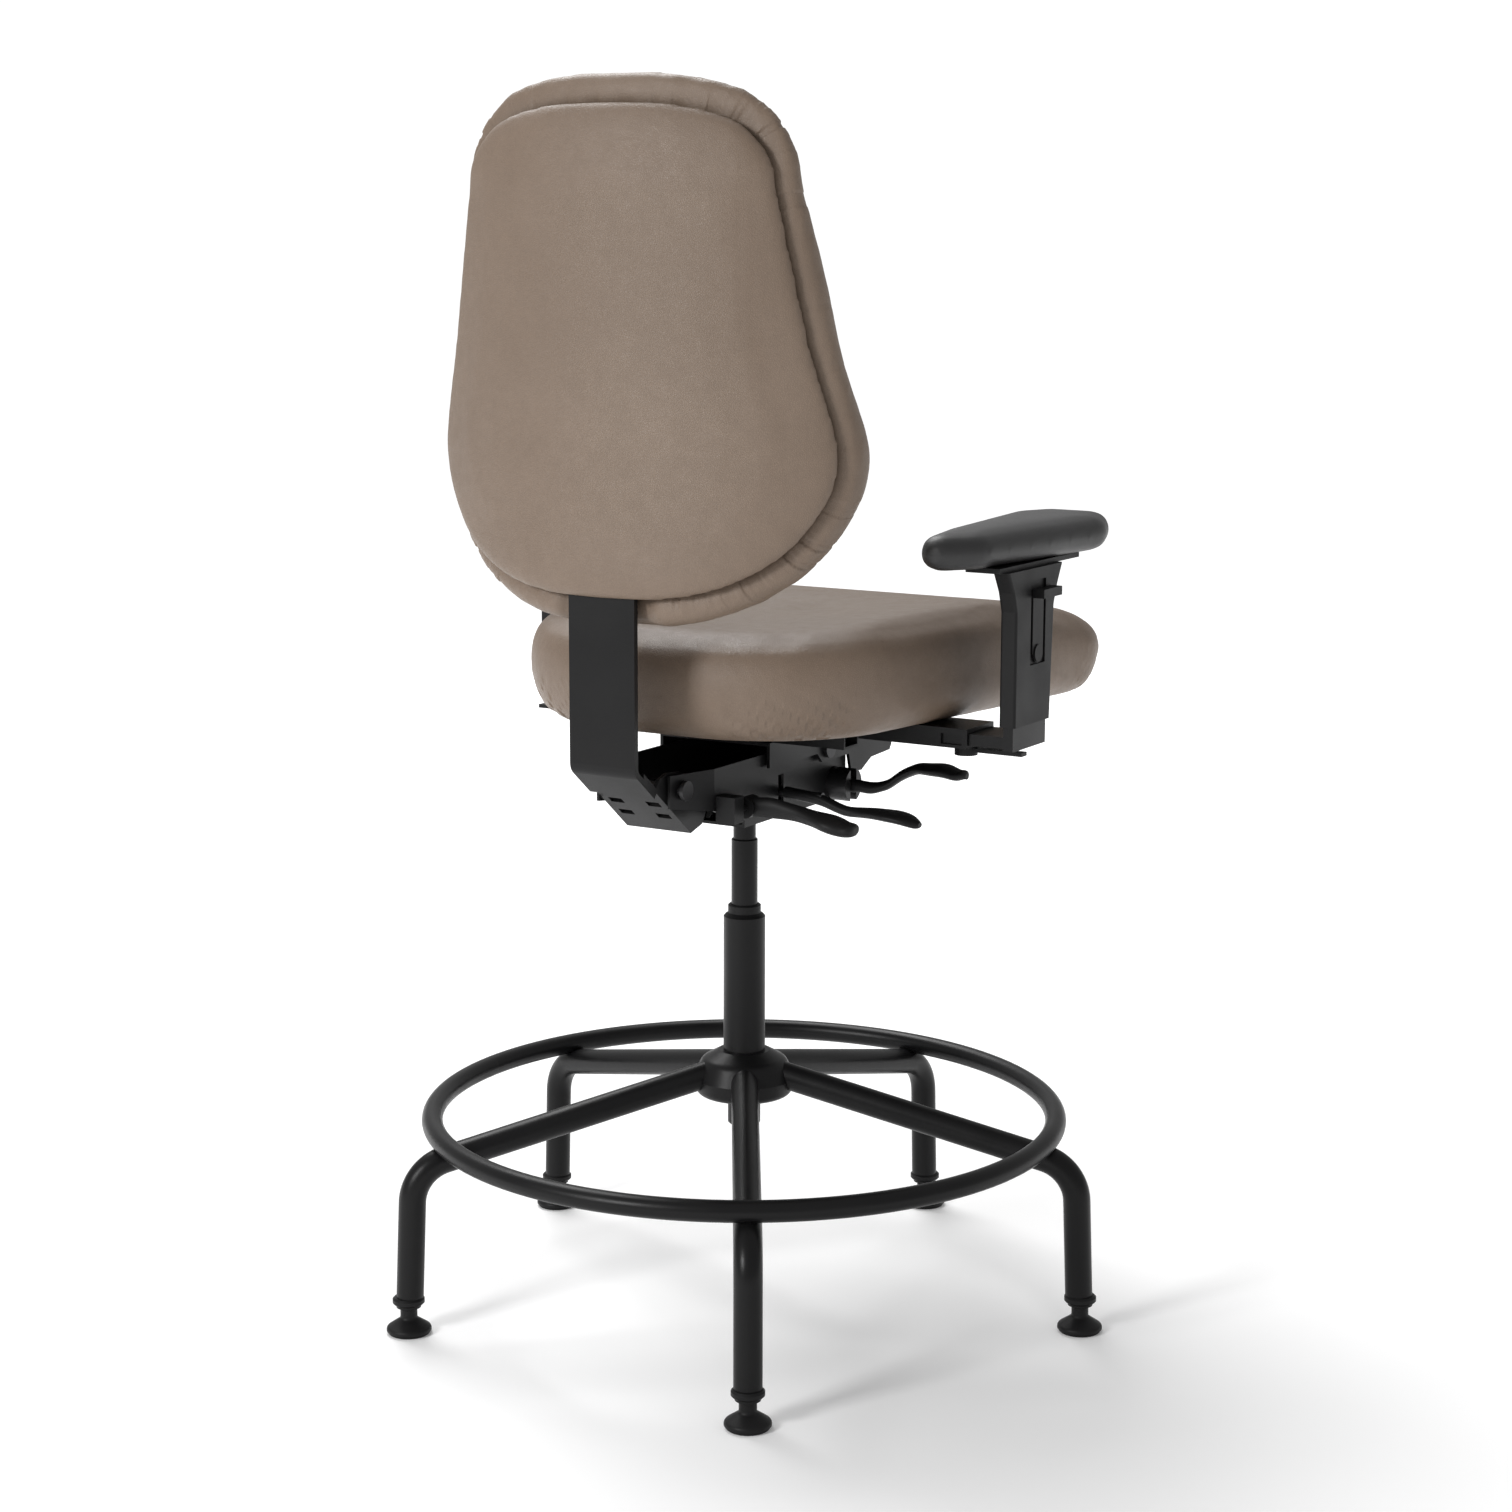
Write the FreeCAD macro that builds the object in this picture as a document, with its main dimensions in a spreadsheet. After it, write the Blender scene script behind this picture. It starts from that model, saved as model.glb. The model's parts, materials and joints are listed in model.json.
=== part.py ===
import FreeCAD, Part
import math
import os
import re
import Sketcher

# Drafting chair. Millimetres, +Z up, origin on the floor under the column.
# The sitter faces -Y, so the back rest is on the +Y side and the levers are on the sitter's right, at -X.

SIZES = [
    # base: five bent legs, foot ring, feet
    ("leg_count", 5, "legs around the hub"),
    ("leg_turn", 121.65, "direction of the first leg, degrees from +X"),
    ("leg_tube_d", 28.6, "leg tube outer diameter"),
    ("leg_wall", 2, "leg tube wall"),
    ("leg_slope", 12.9, "fall of the leg's arm outwards, degrees"),
    ("leg_axis_top", 260, "height where the arm's centre line meets the column axis"),
    ("leg_inner_radius", 30, "radius at which a leg starts inside the hub"),
    ("leg_splay", 2.35, "lean of the leg's upright, degrees from vertical"),
    ("leg_bend", 46, "radius of the leg's bend, on its centre line"),
    ("foot_radius", 370, "column axis to the middle of a foot"),
    ("leg_end", 39.8, "height of the leg's lower end"),
    ("ring_radius", 333.5, "foot ring, centre line"),
    ("ring_tube_d", 22.2, "foot ring tube diameter"),
    ("ring_wall", 2, "foot ring tube wall"),
    ("ring_sink", 3.7, "how far the ring sits into the legs' saddles"),
    ("socket_flange_d", 33.5, "foot socket flange diameter"),
    ("socket_flange", 8, "foot socket flange thickness"),
    ("socket_spigot_d", 18, "foot socket spigot diameter"),
    ("socket_spigot", 20, "foot socket spigot length"),
    ("glide_d", 47, "glide diameter"),
    ("glide_rim", 7, "height of the glide's widest part"),
    ("glide_bell", 17, "height of the glide's bell"),
    ("glide_neck_d", 17.8, "glide neck diameter"),
    ("glide_stem_d", 8, "glide stem diameter"),
    ("glide_stem", 22, "glide stem length in the socket"),
    # hub and column
    ("hub_d", 107.6, "hub diameter"),
    ("hub_bottom", 226, "height of the hub's underside"),
    ("hub_belt", 245, "height of the hub's widest line"),
    ("hub_top", 275, "height of the hub's top"),
    ("hub_shoulder", 5, "hub wall left around the tube at the top"),
    ("tube_d", 44.45, "stand tube diameter"),
    ("tube_bore", 38, "stand tube bore"),
    ("tube_top", 423.4, "height of the stand tube's top"),
    ("tail_d", 35, "stand tube tail diameter"),
    ("tail_bore", 31, "stand tube tail bore"),
    ("tail_bottom", 193, "height of the tail's underside"),
    ("tail_floor", 3.5, "thickness of the tail's floor"),
    ("bush_wall", 3.5, "guide bush collar wall"),
    ("bush_collar", 10.9, "guide bush collar height"),
    ("bush_depth", 68, "guide bush length inside the tube"),
    ("gas_d", 28, "gas cylinder diameter"),
    ("gas_shoulder", 505.4, "height of the cylinder's shoulder at rest"),
    ("gas_length", 230, "cylinder length below its shoulder"),
    ("gas_wall", 2, "cylinder wall"),
    ("gas_end", 12, "cylinder end guide thickness"),
    ("cone_d", 24, "seat cone diameter"),
    ("cone_top", 558, "height of the cone's top at rest"),
    ("gas_ceiling", 8, "metal above the cylinder's chamber"),
    ("rod_d", 10, "piston rod diameter"),
    ("piston_bottom", 408.5, "height of the piston's underside"),
    ("piston", 15, "piston length"),
    ("bearing", 7, "thrust bearing height"),
    ("bearing_d", 26, "thrust bearing diameter"),
    ("clip_d", 18, "rod end clip diameter"),
    ("clip", 3, "rod end clip thickness"),
    ("pin_d", 6, "valve pin diameter"),
    ("pin_top", 566, "height of the valve pin's top at rest"),
    ("running", 0.05, "radial clearance of a running fit"),
    ("gap", 0.4, "clearance between moving neighbours"),
    # mechanism
    ("box_half", 60, "housing half width outside"),
    ("neck_clear", 2.5, "gap between the back bracket and the housing's rear end"),
    ("box_wall", 3, "housing sheet thickness"),
    ("box_front", 115, "housing front, ahead of the column axis"),
    ("box_waist", 159, "where the side walls turn inwards, behind the axis"),
    ("box_rear", 215, "housing rear, behind the axis"),
    ("box_bottom", 540, "height of the housing's underside"),
    ("box_top", 610, "height of the housing's top edge"),
    ("box_rear_bottom", 577, "height of the side wall's underside at the rear"),
    ("floor_rear", 100, "rear edge of the housing floor"),
    ("socket_d", 34, "column socket diameter"),
    ("socket_bottom", 525.3, "height of the column socket's underside"),
    ("axle_d", 12, "axle diameter"),
    ("axle_head_d", 20, "axle head diameter"),
    ("axle_head", 4, "axle head thickness"),
    ("tilt_y", -60, "seat tilt axle, along Y"),
    ("tilt_z", 599, "seat tilt axle height"),
    ("back_y", 200, "back axle, along Y"),
    ("back_z", 594, "back axle height"),
    ("clutch_y", 130, "back clutch bolt, along Y"),
    ("clutch_z", 572, "back clutch bolt height"),
    ("clutch_d", 8, "back clutch bolt diameter"),
    ("lever_pin_d", 6, "lever pivot pin diameter"),
    ("back_lever_y", 118, "back lever, along Y"),
    ("back_lever_out", 16, "back lever pivot, out from the housing's side"),
    ("back_lever_z", 567, "back lever pivot height"),
    ("lift_lever_y", 27, "height lever, along Y"),
    ("lift_lever_x", 40, "height lever pivot, out from the middle"),
    ("lift_lever_z", 568, "height lever pivot height"),
    ("lift_rod_d", 9, "height lever rod diameter"),
    ("tilt_lever_y", -85, "tilt lever, along Y"),
    ("tilt_lever_out", 15, "tilt lever pivot, out from the housing's side"),
    ("tilt_lever_z", 557, "tilt lever pivot height"),
    ("boss_d", 36, "tilt lever boss diameter"),
    ("boss_length", 24, "tilt lever boss length"),
    ("boss_slot", 13, "slot in the boss for the lever"),
    # seat
    ("plate_clear", 3, "gap between the seat plate's flanges and the housing"),
    ("plate_sheet", 3.5, "seat plate thickness"),
    ("plate_front", 202, "seat plate front, ahead of the axis"),
    ("plate_rear", 61, "seat plate rear, behind the axis"),
    ("plate_top", 622, "height of the seat plate's top"),
    ("plate_skirt", 596, "height of the plate's side flanges at the rear"),
    ("bar_half", 150, "crossbar half length"),
    ("bar_width", 30, "crossbar width"),
    ("bar_wall", 2.5, "crossbar wall"),
    ("bar_front_y", -160, "front crossbar, along Y"),
    ("bar_rear_y", 40, "rear crossbar, along Y"),
    ("pan_bottom", 640, "height of the seat pan's underside"),
    ("pan", 12, "seat pan thickness"),
    ("pan_inset", 50, "seat pan inset from the cushion's outline"),
    ("seat_top", 745, "height of the seat cushion's top"),
    ("seat_rear", 205, "seat cushion rear, behind the axis"),
    ("seat_front", 370, "seat cushion front, ahead of the axis"),
    ("seat_rear_half", 198, "seat cushion half width at the rear"),
    ("seat_front_half", 284, "seat cushion half width at the front"),
    ("seat_rear_corner", 180, "rear corner radius in plan"),
    ("seat_front_corner", 78, "front corner radius in plan"),
    ("seat_edge", 44, "rounding of the cushion's top edge"),
    ("seat_under_edge", 48, "rounding of the cushion's lower edge"),
    # back
    ("bar_j_half", 38, "back bar half width"),
    ("bar_j", 6, "back bar thickness"),
    ("bar_j_rear", 270, "back bar's rear face, along Y"),
    ("bar_j_top", 1000, "height of the back bar's top"),
    ("bar_j_bend", 618, "height where the back bar bends forwards"),
    ("lip_y", 235, "end of the back bar's lip, along Y"),
    ("lip_z", 590, "height of the lip's end"),
    ("bracket_sheet", 4, "back bracket thickness"),
    ("bracket_nose_y", 168, "front end of the bracket's plate, along Y"),
    ("slot_width", 9, "bracket slot width"),
    ("slot_length", 16, "bracket slot length"),
    ("slot_spread", 44, "bracket slots apart, across"),
    ("slot_pitch", 24, "bracket slots apart, along"),
    ("recline_back", 20, "back recline rearwards, degrees"),
    ("recline_front", 2, "back recline forwards, degrees"),
    ("back_bottom", 768, "height of the back's underside"),
    ("back_top", 1282, "height of the back's top"),
    ("back_wide_half", 233, "back half width at its widest"),
    ("back_wide_z", 930, "height of the widest line"),
    ("back_neck_half", 183, "back half width at the shoulders"),
    ("back_neck_z", 1165, "height of the shoulders"),
    ("back_rear", 285, "rear panel's furthest point, along Y"),
    ("back_curve", 427, "radius of the rear panel across the back"),
    ("back_face", 180, "front face of the back at the middle, along Y"),
    ("back_face_curve", 900, "radius of the front face across the back"),
    ("panel", 14, "rear panel thickness"),
    ("panel_inset", 5, "rear panel inset at the sides"),
    ("panel_inset_top", 24, "rear panel inset at the top and bottom"),
    ("board", 10, "inner board thickness"),
    ("board_inset", 34, "inner board inset from the outline"),
    ("board_rear", 256, "inner board's rear face at the middle, along Y"),
    ("pocket_half", 48, "half width of the pocket that the back bar slides in"),
    ("pocket_top", 1022, "height of that pocket's top"),
    ("guide_bottom", 800, "height of the height guide's underside"),
    ("guide_length", 110, "height guide length"),
    # arms
    ("arm_inner", 290, "arm sleeve's inner face, out from the middle"),
    ("left_arm_in", 40, "how much further in the left arm stands at rest"),
    ("sleeve_thick", 18, "arm sleeve thickness"),
    ("sleeve_wall", 3, "arm sleeve wall"),
    ("sleeve_front", 100, "arm sleeve front, ahead of the axis"),
    ("sleeve_rear", 12, "arm sleeve rear, ahead of the axis"),
    ("sleeve_bottom", 648, "height of the sleeve's lower end"),
    ("sleeve_waist", 765, "height where the sleeve starts to flare"),
    ("sleeve_flare", 19, "how far the sleeve flares each way"),
    ("sleeve_top", 806, "height of the sleeve's top"),
    ("post_top", 782, "height of the arm post's top"),
    ("arm_bar", 12, "arm bar thickness"),
    ("arm_bar_bottom", 623, "height of the arm bar's underside"),
    ("arm_bar_half", 27, "arm bar half width"),
    ("arm_bar_inner", 120, "arm bar inner end, out from the middle"),
    ("channel_wall", 3, "arm channel wall"),
    ("channel_inner", 100, "arm channel inner end, out from the middle"),
    ("channel_outer", 248, "arm channel outer end, out from the middle"),
    ("knob_x", 232, "width lock knob, out from the middle"),
    ("knob_d", 24, "width lock knob diameter"),
    ("knob", 11, "width lock knob height"),
    ("knob_lever", 66, "width lock lever length"),
    ("latch", 2, "latch plate thickness"),
    ("latch_width", 24, "latch plate width"),
    ("latch_y", -62, "latch pivot, along Y"),
    ("latch_z", 719, "latch pivot height"),
    ("latch_rise", 66, "latch paddle above its pivot"),
    ("button_d", 18, "latch button diameter"),
    ("paddle_length", 42, "latch paddle length"),
    ("paddle_out", 12, "how far the latch paddle stands out"),
    ("paddle_thick", 9, "latch paddle thickness"),
    ("pad_bottom", 811, "height of the arm pad's underside"),
    ("pad_top", 850, "height of the arm pad's top"),
    ("pad_corner", 16, "corner radius of the arm pad in plan"),
    ("pad_round", 14, "rounding of the arm pad's edges"),
]
NAMES = {name for name, _, _ in SIZES}

# lengths that follow from the sizes
DERIVED = {
    "bush_collar_d": "(gas_d + 2 * bush_wall)",
    "plate_half": "(box_half + plate_clear + plate_sheet)",
    "box_neck_half": "(bar_j_half + neck_clear + box_wall)",
    "back_lever_x": "(box_half + back_lever_out)",
    "tilt_lever_x": "(box_half + tilt_lever_out)",
}

doc = FreeCAD.newDocument("drafting_chair")
sizes = doc.addObject("Spreadsheet::Sheet", "sizes")
for row, (name, size, note) in enumerate(SIZES, start=1):
    sizes.set(f"A{row}", name)
    sizes.set(f"B{row}", str(size))
    sizes.set(f"C{row}", note)
    sizes.setAlias(f"B{row}", name)
doc.recompute()

nodes = []


def bound(text):
    """An expression over the sheet: each size's name gets the sheet's name before it."""
    def full(match):
        word = match.group()
        if word in DERIVED:
            return bound(DERIVED[word])
        return "sizes." + word if word in NAMES else word

    return re.sub(r"[a-z_]+", full, text)


def number(text):
    return float(sizes.evalExpression(bound(text)))


def bind(obj, **properties):
    for prop, text in properties.items():
        obj.setExpression(prop.replace("__", "."), bound(text))


def place(obj, x="0", y="0", z="0", turn=None, axis=(0, 0, 1)):
    """Bind a Placement: a point, and a turn in degrees about one axis."""
    obj.Placement = FreeCAD.Placement(FreeCAD.Vector(), FreeCAD.Rotation(FreeCAD.Vector(*axis), 1))
    bind(obj, Placement__Base__x=x, Placement__Base__y=y, Placement__Base__z=z)
    bind(obj, Placement__Rotation__Angle=turn or "0")


def node(obj, label):
    obj.Label = label
    nodes.append(obj)
    return obj


# Part primitives, each bound to the sheet

AXES = {"x": ((0, 1, 0), "90"), "y": ((1, 0, 0), "-90"), "z": ((0, 0, 1), "0")}


def box(name, x, y, z):
    """A box between two expressions along each axis."""
    obj = doc.addObject("Part::Box", name)
    bind(obj, Length=f"({x[1]}) - ({x[0]})", Width=f"({y[1]}) - ({y[0]})", Height=f"({z[1]}) - ({z[0]})")
    place(obj, x[0], y[0], z[0])
    return obj


def rod(name, along, radius, start, end, a="0", b="0"):
    """A cylinder along one axis; a and b place it on the other two, in X, Y, Z order."""
    obj = doc.addObject("Part::Cylinder", name)
    bind(obj, Radius=radius, Height=f"({end}) - ({start})")
    axis, turn = AXES[along]
    point = {"x": (start, a, b), "y": (a, start, b), "z": (a, b, start)}[along]
    place(obj, *point, turn=turn, axis=axis)
    return obj


def cut(name, base, *tools):
    for i, tool in enumerate(tools):
        obj = doc.addObject("Part::Cut", f"{name}_cut_{i}")
        obj.Base = base
        obj.Tool = tool
        base = obj
    return base


def fuse(name, *parts):
    obj = doc.addObject("Part::MultiFuse", name)
    obj.Shapes = list(parts)
    return obj


# PartDesign bodies, each drawn in sketches on its own origin planes

def new_body(name):
    return doc.addObject("PartDesign::Body", name)


def plane(body, role):
    return next(f for f in body.Origin.OriginFeatures if f.Role == role)


def new_sketch(body, role, name="outline", offset="0"):
    sketch = body.newObject("Sketcher::SketchObject", name)
    sketch.AttachmentSupport = (plane(body, role), [""])
    sketch.MapMode = "FlatFace"
    bind(sketch, AttachmentOffset__Base__z=offset)
    return sketch


def fix_distance(sketch, kind, geometry, point, text):
    """Fix one point of a sketch at a bound distance from the sketch's origin."""
    index = sketch.addConstraint(Sketcher.Constraint(kind, -1, 1, geometry, point, number(text)))
    sketch.setExpression(f"Constraints[{index}]", bound(text))


def pin_point(sketch, geometry, point, across, up):
    fix_distance(sketch, "DistanceX", geometry, point, across)
    fix_distance(sketch, "DistanceY", geometry, point, up)


def polygon(sketch, points):
    """A closed outline with straight sides through points given as pairs of expressions."""
    corners = [FreeCAD.Vector(number(a), number(b), 0) for a, b in points]
    first = sketch.GeometryCount
    count = len(corners)
    for i in range(count):
        sketch.addGeometry(Part.LineSegment(corners[i], corners[(i + 1) % count]))
    for i in range(count):
        sketch.addConstraint(Sketcher.Constraint("Coincident", first + i, 2, first + (i + 1) % count, 1))
    for i, (across, up) in enumerate(points):
        pin_point(sketch, first + i, 1, across, up)


def circle(sketch, across, up, radius):
    centre = FreeCAD.Vector(number(across), number(up), 0)
    index = sketch.addGeometry(Part.Circle(centre, FreeCAD.Vector(0, 0, 1), number(radius)))
    pin_point(sketch, index, 3, across, up)
    limit = sketch.addConstraint(Sketcher.Constraint("Radius", index, number(radius)))
    sketch.setExpression(f"Constraints[{limit}]", bound(radius))


def ellipse(sketch, across, up, half_width, half_height):
    """An ellipse, given half its width and half its height."""
    centre = FreeCAD.Vector(number(across), number(up), 0)
    side = centre + FreeCAD.Vector(number(half_width), 0, 0)
    top = centre + FreeCAD.Vector(0, number(half_height), 0)
    wide = number(half_width) >= number(half_height)
    major, minor = (side, top) if wide else (top, side)
    index = sketch.addGeometry(Part.Ellipse(major, minor, centre))
    sketch.exposeInternalGeometry(index)
    pin_point(sketch, index, 3, across, up)
    major_end = 1 if sketch.Geometry[index + 1].StartPoint.isEqual(major, 1e-6) else 2
    minor_end = 1 if sketch.Geometry[index + 2].StartPoint.isEqual(minor, 1e-6) else 2
    if wide:
        pin_point(sketch, index + 1, major_end, f"({across}) + ({half_width})", up)
        fix_distance(sketch, "DistanceY", index + 2, minor_end, f"({up}) + ({half_height})")
    else:
        pin_point(sketch, index + 1, major_end, across, f"({up}) + ({half_height})")
        fix_distance(sketch, "DistanceX", index + 2, minor_end, f"({across}) + ({half_width})")


def pad(body, sketch, length, back=False):
    feature = body.newObject("PartDesign::Pad", "pad")
    feature.Profile = sketch
    feature.Reversed = back
    bind(feature, Length=length)
    return feature


def pocket(body, sketch, length, back=False):
    """Cut a sketch out of the body and make sure that it did remove material."""
    doc.recompute()
    before = body.Shape.Volume
    feature = body.newObject("PartDesign::Pocket", "pocket")
    feature.Profile = sketch
    feature.Reversed = back
    bind(feature, Length=length)
    doc.recompute()
    if not body.Shape.Volume < before:
        raise ValueError(f"{body.Label}: a pocket cut nothing")
    return feature


def revolve(body, sketch):
    feature = body.newObject("PartDesign::Revolution", "turned")
    feature.Profile = sketch
    feature.ReferenceAxis = (sketch, ["V_Axis"])
    feature.Angle = 360
    return feature


def turned(name, *outlines):
    """A body of revolution about Z, from outlines of radius and height."""
    body = new_body(name)
    sketch = new_sketch(body, "XZ_Plane")
    for points in outlines:
        polygon(sketch, points)
    revolve(body, sketch)
    return body


def prism(name, role, points, length, offset="0"):
    """A straight-sided outline on an origin plane, padded towards +X, +Y or +Z."""
    body = new_body(name)
    flip = role == "XZ_Plane"
    sketch = new_sketch(body, role, offset=f"-({offset})" if flip else offset)
    polygon(sketch, points)
    pad(body, sketch, length, back=flip)
    return body


def round_edges(body, radius, chosen):
    """Fillet the edges of a body for which chosen(edge) holds."""
    doc.recompute()
    names = [f"Edge{i}" for i, edge in enumerate(body.Tip.Shape.Edges, start=1) if chosen(edge)]
    base = body.Tip
    feature = body.newObject("PartDesign::Fillet", "round")
    feature.Base = (base, names)
    bind(feature, Radius=radius)
    return feature


def along(direction, edge):
    """True if an edge is straight and parallel to a direction."""
    if not isinstance(edge.Curve, Part.Line):
        return False
    return abs(abs(edge.tangentAt(edge.FirstParameter).dot(FreeCAD.Vector(*direction))) - 1) < 1e-6


def at_height(z, edge):
    """True if a whole edge lies at one height."""
    return abs(edge.BoundBox.ZMin - z) < 1e-3 and abs(edge.BoundBox.ZMax - z) < 1e-3


def wider(size, edge):
    """True if an edge reaches across more than a size."""
    return edge.BoundBox.XLength > size + 1e-3


# Base

LEGS = int(number("leg_count"))
SPLAY_RUN = "tan(leg_splay)"
LEG_END_RADIUS = f"(foot_radius - leg_end * {SPLAY_RUN})"
# where the sloping arm's centre line meets the upright's
CORNER_RADIUS = f"((foot_radius - leg_axis_top * {SPLAY_RUN}) / (1 - {SPLAY_RUN} * tan(leg_slope)))"
CORNER_HEIGHT = f"(leg_axis_top - {CORNER_RADIUS} * tan(leg_slope))"
RING_HEIGHT = (
    "(leg_axis_top - ring_radius * tan(leg_slope)"
    " + ((leg_tube_d + ring_tube_d) / 2 - ring_sink) / cos(leg_slope))"
)


def leg_path(body):
    """The leg's centre line in its own XZ plane: up from the foot, round the bend, in along the arm."""
    sketch = new_sketch(body, "XZ_Plane", "path")
    foot = FreeCAD.Vector(number(LEG_END_RADIUS), number("leg_end"), 0)
    corner = FreeCAD.Vector(number(CORNER_RADIUS), number(CORNER_HEIGHT), 0)
    start_radius = "leg_inner_radius"
    start_height = "(leg_axis_top - leg_inner_radius * tan(leg_slope))"
    inner = FreeCAD.Vector(number(start_radius), number(start_height), 0)
    down = (foot - corner).normalize()
    inward = (inner - corner).normalize()
    half = down.getAngle(inward) / 2
    reach = number("leg_bend") / math.tan(half)
    low = corner + down * reach
    high = corner + inward * reach
    middle = corner + (down + inward).normalize() * (number("leg_bend") / math.sin(half) - number("leg_bend"))
    upright = sketch.addGeometry(Part.LineSegment(foot, low))
    bend = sketch.addGeometry(Part.Arc(low, middle, high))
    arm = sketch.addGeometry(Part.LineSegment(high, inner))
    mark = sketch.addGeometry(Part.Point(corner), True)
    joins_low = 1 if sketch.Geometry[bend].StartPoint.isEqual(low, 1e-6) else 2
    sketch.addConstraint(Sketcher.Constraint("Tangent", upright, 2, bend, joins_low))
    sketch.addConstraint(Sketcher.Constraint("Tangent", bend, 3 - joins_low, arm, 1))
    sketch.addConstraint(Sketcher.Constraint("PointOnObject", mark, 1, upright))
    sketch.addConstraint(Sketcher.Constraint("PointOnObject", mark, 1, arm))
    pin_point(sketch, upright, 1, LEG_END_RADIUS, "leg_end")
    pin_point(sketch, arm, 2, start_radius, start_height)
    pin_point(sketch, mark, 1, CORNER_RADIUS, CORNER_HEIGHT)
    limit = sketch.addConstraint(Sketcher.Constraint("Radius", bend, number("leg_bend")))
    sketch.setExpression(f"Constraints[{limit}]", bound("leg_bend"))
    return sketch


def turn_of(i):
    return f"leg_turn + 360 * {i} / leg_count"


def make_ring():
    outer = doc.addObject("Part::Torus", "ring_outside")
    inner = doc.addObject("Part::Torus", "ring_inside")
    bind(outer, Radius1="ring_radius", Radius2="ring_tube_d / 2")
    bind(inner, Radius1="ring_radius", Radius2="ring_tube_d / 2 - ring_wall")
    place(outer, z=RING_HEIGHT)
    place(inner, z=RING_HEIGHT)
    node(cut("ring", outer, inner), "foot_ring")
    return outer


def make_leg(i, ring):
    body = new_body(f"leg_tube_{i + 1}")
    path = leg_path(body)
    section = new_sketch(body, "XY_Plane", "section", offset="leg_end")
    circle(section, LEG_END_RADIUS, "0", "leg_tube_d / 2")
    circle(section, LEG_END_RADIUS, "0", "leg_tube_d / 2 - leg_wall")
    pipe = body.newObject("PartDesign::AdditivePipe", "tube")
    pipe.Profile = section
    pipe.Spine = path
    place(body, turn=turn_of(i))
    node(cut(f"leg_{i + 1}", body, ring), f"leg_{i + 1}")


def make_foot(i):
    """A flanged socket in the leg's end and a bell glide whose stem is pressed into it."""
    flange = "leg_end - socket_flange"
    spigot = "leg_end + socket_spigot"
    stem = f"({flange} + glide_stem)"
    socket = turned(f"socket_body_{i + 1}", [
        ("glide_stem_d / 2", flange), ("socket_flange_d / 2 - 2", flange),
        ("socket_flange_d / 2", f"{flange} + 2"), ("socket_flange_d / 2", "leg_end - 2"),
        ("socket_flange_d / 2 - 2", "leg_end"), ("socket_spigot_d / 2", "leg_end"),
        ("socket_spigot_d / 2", spigot), ("0", spigot), ("0", stem), ("glide_stem_d / 2", stem)])
    glide = turned(f"glide_body_{i + 1}", [
        ("0", "0"), ("glide_d / 2 - 1.5", "0"), ("glide_d / 2 - 1.5", "glide_rim / 2"),
        ("glide_d / 2", "glide_rim / 2"), ("glide_d / 2", "glide_rim"), ("glide_neck_d / 2", "glide_bell"),
        ("glide_neck_d / 2", f"{flange} - 5"), ("glide_neck_d / 2 + 4", f"{flange} - 3"),
        ("glide_neck_d / 2 + 4", flange), ("glide_stem_d / 2", flange), ("glide_stem_d / 2", stem),
        ("0", stem)])
    round_edges(glide, "2", lambda e: at_height(0, e))
    round_edges(glide, "4", lambda e: at_height(number("glide_rim"), e) or at_height(number("glide_bell"), e))
    for body, label in ((socket, "foot_socket"), (glide, "glide")):
        turn = turn_of(i)
        place(body, f"foot_radius * cos({turn})", f"foot_radius * sin({turn})")
        node(body, f"{label}_{i + 1}")


def make_hub():
    body = new_body("hub_body")
    sketch = new_sketch(body, "XZ_Plane")
    polygon(sketch, [
        ("tube_d / 2", "hub_bottom"), ("hub_d / 2 - 3", "hub_bottom"), ("hub_d / 2", "hub_belt"),
        ("hub_d / 2 - 8", "hub_belt + 20"), ("tube_d / 2 + hub_shoulder", "hub_top"),
        ("tube_d / 2", "hub_top")])
    revolve(body, sketch)
    round_edges(body, "9", lambda e: at_height(number("hub_bottom"), e) and wider(number("tube_d"), e))
    round_edges(body, "14", lambda e: at_height(number("hub_belt + 20"), e))
    hole = new_sketch(body, "YZ_Plane", "leg_hole")
    circle(hole, "0", "0", "leg_tube_d / 2")
    hole.AttachmentOffset = FreeCAD.Placement(FreeCAD.Vector(), FreeCAD.Rotation(FreeCAD.Vector(1, 0, 0), 1))
    bind(hole, AttachmentOffset__Base__y="leg_axis_top", AttachmentOffset__Rotation__Angle="leg_slope")
    bore = pocket(body, hole, "hub_d", back=True)
    pattern = body.newObject("PartDesign::PolarPattern", "leg_holes")
    pattern.Originals = [bore]
    pattern.Axis = (sketch, ["V_Axis"])
    pattern.Angle = 360
    bind(pattern, Occurrences="leg_count")
    body.Tip = pattern
    place(body, turn="leg_turn")
    node(body, "base_hub")


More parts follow.
